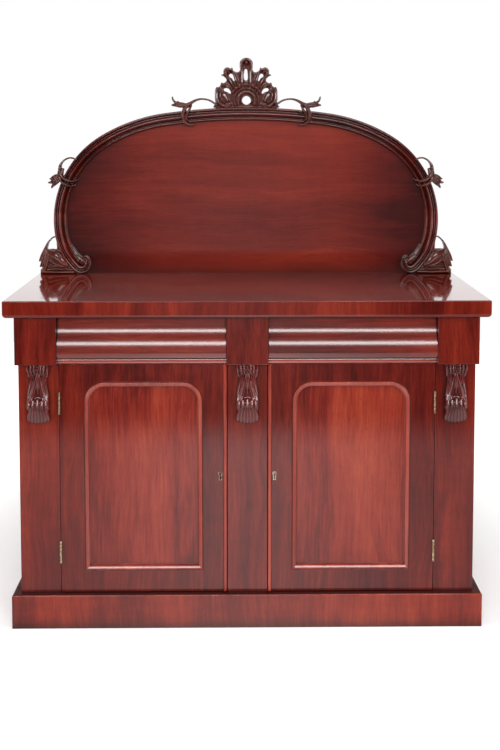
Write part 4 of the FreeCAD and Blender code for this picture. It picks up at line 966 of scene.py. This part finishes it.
def scroll_leaves(material):
    """The small leaf that lies along each volute, and the volute's eye."""
    across, up, narrowed, raised = SCROLL_RIB
    rib = [(x + across, z + up, width * narrowed, depth + raised) for x, z, width, depth in SCROLL_LEAF]
    shapes = [strand(SCROLL_LEAF, SCROLL_BACK, vein=0.3), strand(rib, SCROLL_BACK)]
    shapes.append(knob(*SCROLL_EYE, SCROLL_BACK))
    made = carved("arch_scroll_leaves", both_sides(shapes), keep=0.6)
    fit(made, "carcass", "carved_mahogany", material)


# Crest: right half, from the crown of the arch.
CREST_OUTLINE = (
    (1, 144), (8.5, 142.6), (14, 138.6), (18.6, 131.8), (19.4, 119), (18.4, 109), (22.5, 103.2),
    (29.7, 102.6), (37, 107.3), (40.8, 115.5), (45, 113.4), (49.5, 115.2), (56.4, 116.2), (64.6, 111.8),
    (66.8, 103), (66.4, 97.2), (74.2, 94), (64.6, 88.8), (57.6, 80.8), (59.6, 74.6), (66.8, 70.6),
    (73.5, 72.2), (75.7, 63.6), (81.6, 58.6), (86.8, 59.6), (91.3, 48), (92, 36), (91.6, 22.6),
    (89, 11), (84, -3.6),
)
CREST_SLOT = ((-4, 110), (2, 109.6), (3.6, 100), (4.4, 86), (2, 79), (-4.4, 79.2), (-6.4, 88), (-6, 100))
CREST_SIDE_SLOT = (
    (43.6, 97.6), (49.4, 94.4), (48, 88.6), (41.8, 84.2), (35.6, 75.6), (33, 78.4), (37.4, 90.6),
)
CREST_LOW_HOLE = (
    (45.2, 41.6), (47.6, 49.6), (56.8, 55.6), (64.8, 53.4), (63.2, 47.4), (54.8, 44.6), (48.4, 40.2),
)
CREST_EYE = (0.4, 20, 12)
CREST_STRANDS = (
    # finial
    ((8, 48, 4, 18), (11.8, 66, 5.5, 22), (12.4, 88, 5.6, 21), (12.4, 108, 5.2, 20), (13.6, 124, 4.6, 21),
     (9, 136, 4.2, 22), (1, 138.5, 4, 21)),
    ((17.5, 54, 2.6, 15), (18.6, 72, 3, 16), (17, 92, 2.6, 16), (16, 106, 2.2, 15)),
    # upper side lobe, inner and outer strand and its curl
    ((21, 54, 4, 17), (28, 74, 5.2, 21), (33.4, 90, 4.6, 20), (39, 103, 4.4, 20), (46, 109.5, 4.2, 21),
     (54, 109.5, 4, 21), (60, 104, 4, 20)),
    ((32, 50, 4.6, 17), (41, 68, 5, 20), (50, 83, 4.6, 19), (57.6, 94, 4.4, 20), (60, 103, 4, 20)),
    ((25, 47, 2.6, 15), (33, 62, 2.6, 16), (40, 73, 2.2, 15)),
    # third lobe over the low hole
    ((39, 38, 4, 16), (45, 52, 4.6, 20), (54, 61, 5, 21), (64, 65, 4.4, 19), (71, 66.5, 3, 15)),
    # base scroll
    ((78, 58, 3.4, 15), (84, 48, 5.6, 20), (86, 34, 6.2, 22), (83, 19, 6.6, 23), (74, 8, 6.4, 23),
     (61, 3, 5.6, 22), (49, 4, 4.4, 19), (43, 9.5, 3, 14)),
    ((72, 52, 2.6, 14), (75.6, 42, 3.6, 17), (75.4, 29, 3.8, 18), (70, 18, 3.6, 18), (60, 12, 3, 16)),
)
CREST_BOWL = ((63, 47, 4, 11), (64, 37, 9, 12.5), (61, 26, 10, 13), (53, 16, 6, 13))
CREST_FAN = (
    # horseshoe round the eye: radius, half width, depth and turns
    (46.5, 7, 15, 28, 152),
    (35.5, 2.9, 20, -30, 210),
    (25.6, 8.4, 16.5, -32, 212),
    (14.8, 2.8, 18, -32, 212),
)
CREST_TOP_KNOB = (0.5, 130, 8, 9, 20)
CREST_SIDE_KNOB = (52, 103.5, 7, 6.5, 20)
CREST_BACK, CREST_WEB = 214.0, 205.0
CREST_OUTLINE_STEPS = 3
CREST_EYE_STEPS = 28
CREST_FAN_STEPS = 16
# Foot rail along the arch: its places across, drop below the crown, half width and depth.
CREST_FOOT = (range(-88, 89, 16), 3.2, 4.4, 22.0)


def crest(material):
    """The pierced crest: a plate cut to its outline, with strands, rims and bosses worked on it."""
    outline = [*CREST_OUTLINE, *((-x, z) for x, z in reversed(CREST_OUTLINE))]
    holes = [closed_curve(CREST_SLOT)]
    for hole in (CREST_SIDE_SLOT, CREST_LOW_HOLE):
        holes += [closed_curve(hole), closed_curve([(-x, z) for x, z in hole])]
    eye_x, eye_z, radius = CREST_EYE
    turns = [2 * math.pi * step / CREST_EYE_STEPS for step in range(CREST_EYE_STEPS)]
    holes.append([(eye_x + radius * math.cos(turn), eye_z + radius * math.sin(turn)) for turn in turns])
    shapes = [plate(closed_curve(outline, CREST_OUTLINE_STEPS), holes, CREST_WEB, CREST_BACK)]
    shapes += pairs(strands(CREST_STRANDS, CREST_BACK, vein=0.12))
    shapes += pairs([strand(CREST_BOWL, CREST_BACK, flat=4.0)])
    for radius, width, depth, first, last in CREST_FAN:
        arc = []
        for step in range(CREST_FAN_STEPS + 1):
            turn = math.radians(first + (last - first) * step / CREST_FAN_STEPS)
            arc.append((eye_x + radius * math.cos(turn), eye_z + radius * math.sin(turn), width, depth))
        shapes.append(strand(arc, CREST_BACK))
    shapes.append(knob(*CREST_TOP_KNOB, CREST_BACK))
    shapes += pairs([knob(*CREST_SIDE_KNOB, CREST_BACK)])
    across, drop, width, depth = CREST_FOOT
    foot = [(x, -drop - x * x / (2 * ARCS[0][1]), width, depth) for x in across]
    shapes.append(strand(foot, CREST_BACK))
    carving("crest", [moved(shape, 0, CROWN_TOP) for shape in shapes], material)


# Sprays beside the crest: right side, from the crown of the arch.
SPRAY_STRANDS = (
    ((84, 5, 3.4, 15), (101, 17, 3.4, 15), (115, 22.4, 3.2, 15), (133, 23.6, 3.4, 16), (150, 18.6, 4.4, 16),
     (163, 11, 5.4, 17), (176, 6.2, 6, 18), (190, 5.4, 7, 18), (204, 6.6, 6, 18), (218, 6, 2.4, 12)),
    ((176, 10, 2.6, 16), (190, 12, 3.4, 17), (203, 13.6, 4, 18), (211.5, 20.5, 3.6, 18),
     (214.6, 31.5, 2.4, 14)),
    ((188, 10, 2.4, 13), (195, 14, 2.4, 15), (199.6, 18.6, 1.8, 12)),
    ((163, 9, 4.4, 15), (174, 1, 5.6, 17), (181.5, -10, 6.2, 19), (184.6, -23, 6, 19),
     (181.5, -36, 5.2, 18), (174, -46, 4.4, 17), (163, -50.5, 3.4, 15), (151, -49, 1.8, 12)),
    ((158, 8, 2.6, 14), (163, -3, 3.6, 17), (169, -13, 4, 18), (173.5, -24, 4, 18), (173, -34, 3.2, 17),
     (167, -41, 2.2, 14)),
    ((148, -10, 1.8, 12), (154.5, -13.4, 2.8, 15), (161, -11, 3.2, 16), (168, -4, 2.8, 15)),
)
SPRAY_BACK = 197.0


def sprays(material):
    shapes = both_sides(strands(SPRAY_STRANDS, SPRAY_BACK, vein=0.3, base=0.45))
    carving("crest_sprays", [moved(shape, 0, CROWN_TOP) for shape in shapes], material, voxel=0.9)


# Clasps round the arch at its widest: right side, from that point outwards and up.
CLASP_STRANDS = (
    ((-72, 177, 2.6, 11), (-60, 182.2, 2.8, 12), (-49, 183, 2.8, 13), (-38.9, 179.2, 2.9, 13),
     (-31.5, 173.4, 3.2, 14), (-25.6, 166, 4, 16), (-22.6, 158, 5, 17), (-21.4, 148, 5.4, 18),
     (-19.6, 138, 5.2, 19), (-20, 127, 4.8, 19)),
    ((-32, 154, 3.2, 15), (-28.8, 142, 4.2, 18), (-26, 130, 4.8, 19), (-22, 118, 4.4, 18)),
    ((-21, 131, 4.6, 17), (-12, 131, 5.8, 17), (-3, 127, 5.6, 18), (4, 123, 3.8, 16), (9.4, 122.6, 1.8, 11)),
    ((-20, 125, 5, 16), (-10, 121, 6.6, 18), (-1, 115.4, 6, 19), (6, 111.8, 4.4, 17), (13.4, 111.4, 2, 12)),
    ((-20, 118, 4.6, 16), (-12, 113, 6.2, 18), (-5, 106.4, 5.6, 18), (0.4, 100.6, 4, 15),
     (3.4, 94.4, 2, 11)),
)
CLASP_BACK = 198.0
CLASP_BANDS = (
    ((-20.2, 128, 4.2, 31), (-26.3, 114.7, 4.4, 32), (-37.6, 105.8, 4.4, 31), (-49.7, 101.6, 3.8, 28),
     (-63, 101.6, 2.2, 20)),
    ((-21, 137, 4.4, 30), (-29.5, 126, 4.8, 31), (-41.6, 118, 4.6, 30), (-57.8, 114.6, 3.6, 26),
     (-73, 120.4, 2, 17)),
)
CLASP_BANDS_BACK = 210.0
ARCH_WIDEST_LEVEL = ARCS[2][0][1]


def clasps(material):
    shapes = strands(CLASP_STRANDS, CLASP_BACK, vein=0.25, base=0.5)
    shapes += strands(CLASP_BANDS, CLASP_BANDS_BACK, vein=0.1, base=0.7)
    shapes = both_sides([moved(shape, ARCH_HALF_WIDTH, ARCH_WIDEST_LEVEL) for shape in shapes])
    carving("side_leaf_clasps", shapes, material, voxel=0.9)


# Ears at the arch's foot: right side, distance from the middle and above the top.
EAR_OUTER = ((556, 73), (570, 73.6), (583, 72), (588, 60), (592, 40), (598, 22), (605, 11), (605, 0))
EAR_BLADE = (
    (588, 55, 15, 17), (578, 54, 20, 21), (565, 49, 24, 24), (550, 41, 21, 25.5), (536, 31, 14, 25),
    (524, 21, 7, 21),
)
EAR_STRANDS = (
    ((588, 67, 1.8, 20), (576, 69.6, 2.4, 23), (563, 66, 2.6, 25), (551, 57, 2.2, 26), (542, 46, 1.4, 25)),
    ((588, 52, 1.8, 20), (575, 54, 2.4, 25), (561, 47.5, 2.6, 27.5), (546, 36, 2.2, 27.5),
     (532, 25, 1.4, 24)),
    ((588, 38, 1.8, 18), (576, 36.6, 2.4, 22), (562, 29.6, 2.6, 25), (547, 24, 2.2, 26), (533, 20, 1.4, 23)),
    ((586, 27, 2.2, 20), (573, 20.6, 3.2, 25), (556, 15.8, 3.4, 27), (538, 14.6, 3, 26),
     (520, 16.4, 1.8, 21)),
    ((598, 5.6, 5.6, 23), (570, 5.2, 5.6, 24), (540, 5.2, 5.4, 24), (500, 5, 5.2, 22)),
)
EAR_LEAF = (
    ((552, 110, 2.8, 13), (566, 107.6, 2.8, 14), (574, 101.6, 3, 16), (582, 91.5, 3.6, 19),
     (587.6, 79, 5.2, 22), (592.5, 66, 7.2, 25), (598, 54, 7.2, 27), (603.6, 43.6, 5, 25),
     (608.6, 36, 2, 20)),
    ((588, 76, 4.2, 20), (589.6, 60, 7.6, 26), (593, 44, 8.8, 28), (599, 29.5, 7, 27), (605.6, 20, 2.8, 22)),
    ((586, 70, 4.2, 20), (584, 54, 6.8, 26), (585, 38, 7.8, 28), (588.8, 23, 7.6, 27), (595, 11.6, 5.8, 25),
     (603, 5.6, 2.6, 20)),
)
EAR_STEPS = 12
# The plate meets the arch between these slopes, a little inside its edge.
EAR_SLOPES = (168, 101)
EAR_INSIDE = 1.0
EAR_BASE_START = (500, 0)
EAR_PLATE_FRONT, EAR_BACK = 203, 216


def ears(material):
    low, high = EAR_SLOPES
    edge = []
    for step in range(EAR_STEPS + 1):
        x, z = arch_edge(math.radians(low - (low - high) * step / EAR_STEPS))
        edge.append((x - EAR_INSIDE, z - TOP_SURFACE))
    shapes = [plate([*EAR_OUTER, EAR_BASE_START, *edge], [], EAR_PLATE_FRONT, EAR_BACK)]
    shapes.append(strand(EAR_BLADE, EAR_BACK, flat=2.6, base=0.4))
    shapes += strands(EAR_STRANDS, EAR_BACK, base=0.45)
    shapes += strands(EAR_LEAF, EAR_BACK, vein=0.3)
    carving("ear_brackets", both_sides([moved(shape, 0, TOP_SURFACE) for shape in shapes]), material)


# Corbels: distance from the middle, distance below the top, half width and depth.
CORBEL_TOP = 683.0
CORBEL_BACK = -206.0
CORBEL_PLACES = (-529, 0, 529)
CORBEL_BODY = (
    (0, 0.5, 26, 11), (0, 14, 26, 11), (0, 28, 22.5, 6), (0, 50, 20, 6.5), (0, 70, 21, 8.5),
    (0, 86, 23, 11), (0, 96, 24.5, 17), (0, 104, 25, 18), (0, 111, 21, 12), (0, 119, 23, 10),
    (0, 134, 26.5, 8), (0, 146, 26, 6.5), (0, 152, 21, 5),
)
CORBEL_FOLDS = (
    # head
    ((25, 1, 3.2, 12.6), (25, 6, 3.8, 14.3), (25, 13, 3.6, 16.5), (24.2, 20, 3.2, 13), (23, 34, 2, 7)),
    ((16.4, 1, 3, 13.8), (16.6, 6, 3.6, 15.5), (16.4, 13, 3.6, 17.8), (15.6, 20, 2.8, 15),
     (14.8, 27, 2, 11)),
    ((8.6, 1, 2.4, 12.6), (9, 6, 2.8, 14.2), (8.6, 13, 2.8, 16.5), (7.8, 20, 2.2, 14), (7.2, 27, 1.6, 10)),
    # band
    ((20, 90, 3.8, 18), (20.8, 97, 4.4, 20.2), (21.4, 104, 4.4, 22.3), (21.8, 110, 3.8, 19),
     (22, 116, 2.6, 13)),
    ((11, 90, 4.2, 18.4), (11.4, 97, 4.8, 20.7), (11.6, 104, 4.8, 22.9), (11.6, 109, 4.2, 20),
     (11.4, 114, 3.2, 14)),
)
CORBEL_STRANDS = (
    ((3, 22, 2.4, 9.5), (4.6, 40, 3.8, 12), (8.2, 60, 5.4, 14.5), (12.6, 78, 6.6, 17), (16, 90, 6.4, 20.5),
     (17.6, 98, 5, 22)),
    ((10.6, 24, 2, 9.5), (11.2, 40, 2.2, 10.5), (13.4, 58, 2.4, 12), (17.8, 76, 2.6, 14.5),
     (21.4, 90, 2.6, 19)),
    ((15.6, 22, 2.2, 9.5), (16.4, 42, 2.4, 10), (19, 60, 2.6, 11.5), (22.6, 78, 2.8, 14.5),
     (25.2, 94, 2.8, 19.5), (25.8, 108, 2.4, 20), (25.6, 118, 1.6, 13)),
    ((20.2, 24, 1.8, 8.5), (20.2, 40, 2, 8.5), (21.8, 58, 2, 9.5), (25, 76, 2, 12), (26.8, 88, 1.6, 13)),
)
CORBEL_FRINGE = (
    (0.72, 109, 3, 14), (0.86, 118, 3.7, 14.6), (1, 132, 4.4, 13.6), (1.03, 144, 4.3, 12),
    (0.98, 153.5, 2.8, 8),
)
CORBEL_FRINGE_PLACES = range(-24, 25, 8)
CORBEL_ROUND = 0.0095
CORBEL_ROUND_FROM = 140
CORBEL_MIDDLE = (
    ((0, 18, 3.2, 10.5), (0, 34, 4.8, 13.5), (0, 50, 4.6, 13.5), (0, 64, 3, 11.5), (0, 76, 1.4, 9.5)),
    ((0, 86, 3.6, 17), (0, 92, 5.4, 19.2), (0, 98, 6, 21.2), (0, 104, 6, 23), (0, 109, 5, 20),
     (0, 114, 3.4, 14)),
)
CORBEL_KNOBS = (
    (0, 5, 5.4, 2.6, 17), (0, 11.4, 5.2, 2.6, 17.5), (0, 17.8, 4.8, 2.6, 16), (25.2, 7.5, 3.6, 3.8, 17.5),
)


def downward(table):
    """Strands of the corbel, whose tables count downward."""
    return [[(x, -z, width, depth) for x, z, width, depth in points] for points in table]


def corbels(material):
    shapes = strands(downward([CORBEL_BODY]), CORBEL_BACK, flat=6.0)
    shapes += pairs(strands(downward(CORBEL_FOLDS), CORBEL_BACK, flat=4.0))
    shapes += pairs(strands(downward(CORBEL_STRANDS), CORBEL_BACK, vein=0.15))
    shapes += strands(downward(CORBEL_MIDDLE), CORBEL_BACK, flat=3.0)
    fringe = []
    for place in CORBEL_FRINGE_PLACES:
        rise = CORBEL_ROUND * place * place
        fringe.append([
            (place * spread, z - rise if z > CORBEL_ROUND_FROM else z, width, depth)
            for spread, z, width, depth in CORBEL_FRINGE
        ])
    shapes += strands(downward(fringe), CORBEL_BACK, base=0.6)
    for x, z, across, up, depth in CORBEL_KNOBS:
        boss = knob(x, -z, across, up, depth, CORBEL_BACK)
        shapes += pairs([boss]) if x else [boss]
    shapes = [moved(shape, x, CORBEL_TOP) for x in CORBEL_PLACES for shape in shapes]
    carving("corbels", shapes, material, voxel=0.9)


def finish_nodes():
    upright = wood("upright", UPRIGHT, RED_WOOD, shade=0.035)
    plinth = wood("plinth", UPRIGHT, PLINTH_WOOD, figure=LIVELY, crevice=0.045, ledge=0.85)
    level = wood("level", LEVEL, RED_WOOD, figure=QUIET, painted_end_shade=0.42, crevice=0.08, painted_shade=0.7)
    drawers = wood("drawers", LEVEL, RED_WOOD, polish=0.16, lustre=0.15, gloss=1.65)
    rail = wood("rail", LEVEL, BEAD_WOOD, polish=0.20, lustre=0.2, gloss=2.0)
    top = wood("top", LEVEL, RED_WOOD, figure=QUIET, edge_grain=UPRIGHT, polish=0.05, lustre=0.0)
    arch = wood("arch", LEVEL, ARCH_WOOD, polish=0.10, crevice=0.006, gloss=1.7)
    doors = wood("doors", UPRIGHT, RED_WOOD, shade=0.10)
    bead = wood("bead", UPRIGHT, BEAD_WOOD, polish=0.13, lustre=0.2, crevice=0.006, gloss=1.5)
    panel = wood(
        "figured", UPRIGHT, PANEL_WOOD, figure=MOTTLED, wander=0.03, crevice=0.03, shade=0.07
    )
    carved_wood = wood(
        "carved", UPRIGHT, CARVED_WOOD, hollows=0.10, crevice=0.003, painted_shade=0.6, wear_and_highlight=0.05
    )
    corbel_wood = wood(
        "corbels", UPRIGHT, CORBEL_WOOD,
        hollows=0.40, crevice=0.003, painted_shade=0.1, wear_and_highlight=0.1, polish=0.065, gloss=1.56,
    )
    scroll_wood = wood(
        "scrolls", UPRIGHT, CARVED_WOOD, hollows=0.10, crevice=0.003, painted_shade=0.4, gloss=2.3
    )
    pine_boards = bare_wood("back_boards", UPRIGHT, back_board_chance)
    pine_upright = bare_wood("upright", UPRIGHT)
    pine_level = bare_wood("level", LEVEL)
    pine_deep = bare_wood("deep", FROM_FRONT)
    brass = metal("worn_brass", *WORN_BRASS)
    old_brass = metal("tarnished_brass", *TARNISHED_BRASS)
    steel = metal("dull_iron", *DULL_IRON)
    paint(pine_level, *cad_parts)
    paint(upright, *both("side", "pilaster"), "centre_pilaster", "frieze_blocks")
    paint(plinth, "plinth_front", "plinth_sides")
    paint(doors, *both("door_hinge_stile", "door_lock_stile", "door_rails"))
    paint(bead, *both("door_closing_bead"))
    door_mouldings(bead)
    paint(top, "table_top")
    paint(level, "backboard_panel")
    paint(rail, "drawer_rail")
    paint(drawers, *both("drawer_front"))
    paint(panel, *both("door_panel"))
    arch_moulding(arch)
    scroll_leaves(scroll_wood)
    for make in (crest, sprays, clasps, ears):
        make(carved_wood)
    corbels(corbel_wood)
    paint(pine_boards, "back_boards")
    paint(pine_upright, "backboard_battens", "drawer_divider")
    paint(pine_deep, "drawer_runners", "shelf_cleats", *both("drawer_sides"))
    paint(brass, "right_escutcheon", "strike_plates")
    paint(old_brass, "left_escutcheon", *both("door_hinge_leaves", "door_hinge_screws"))
    paint(old_brass, "frame_hinge_leaves", "frame_hinge_screws")
    paint(steel, *both("lock_case", "lock_bolt"), "backboard_screws_and_dowels")


camera()
studio_room()
studio_floor()
studio_lamps()
finish_nodes()
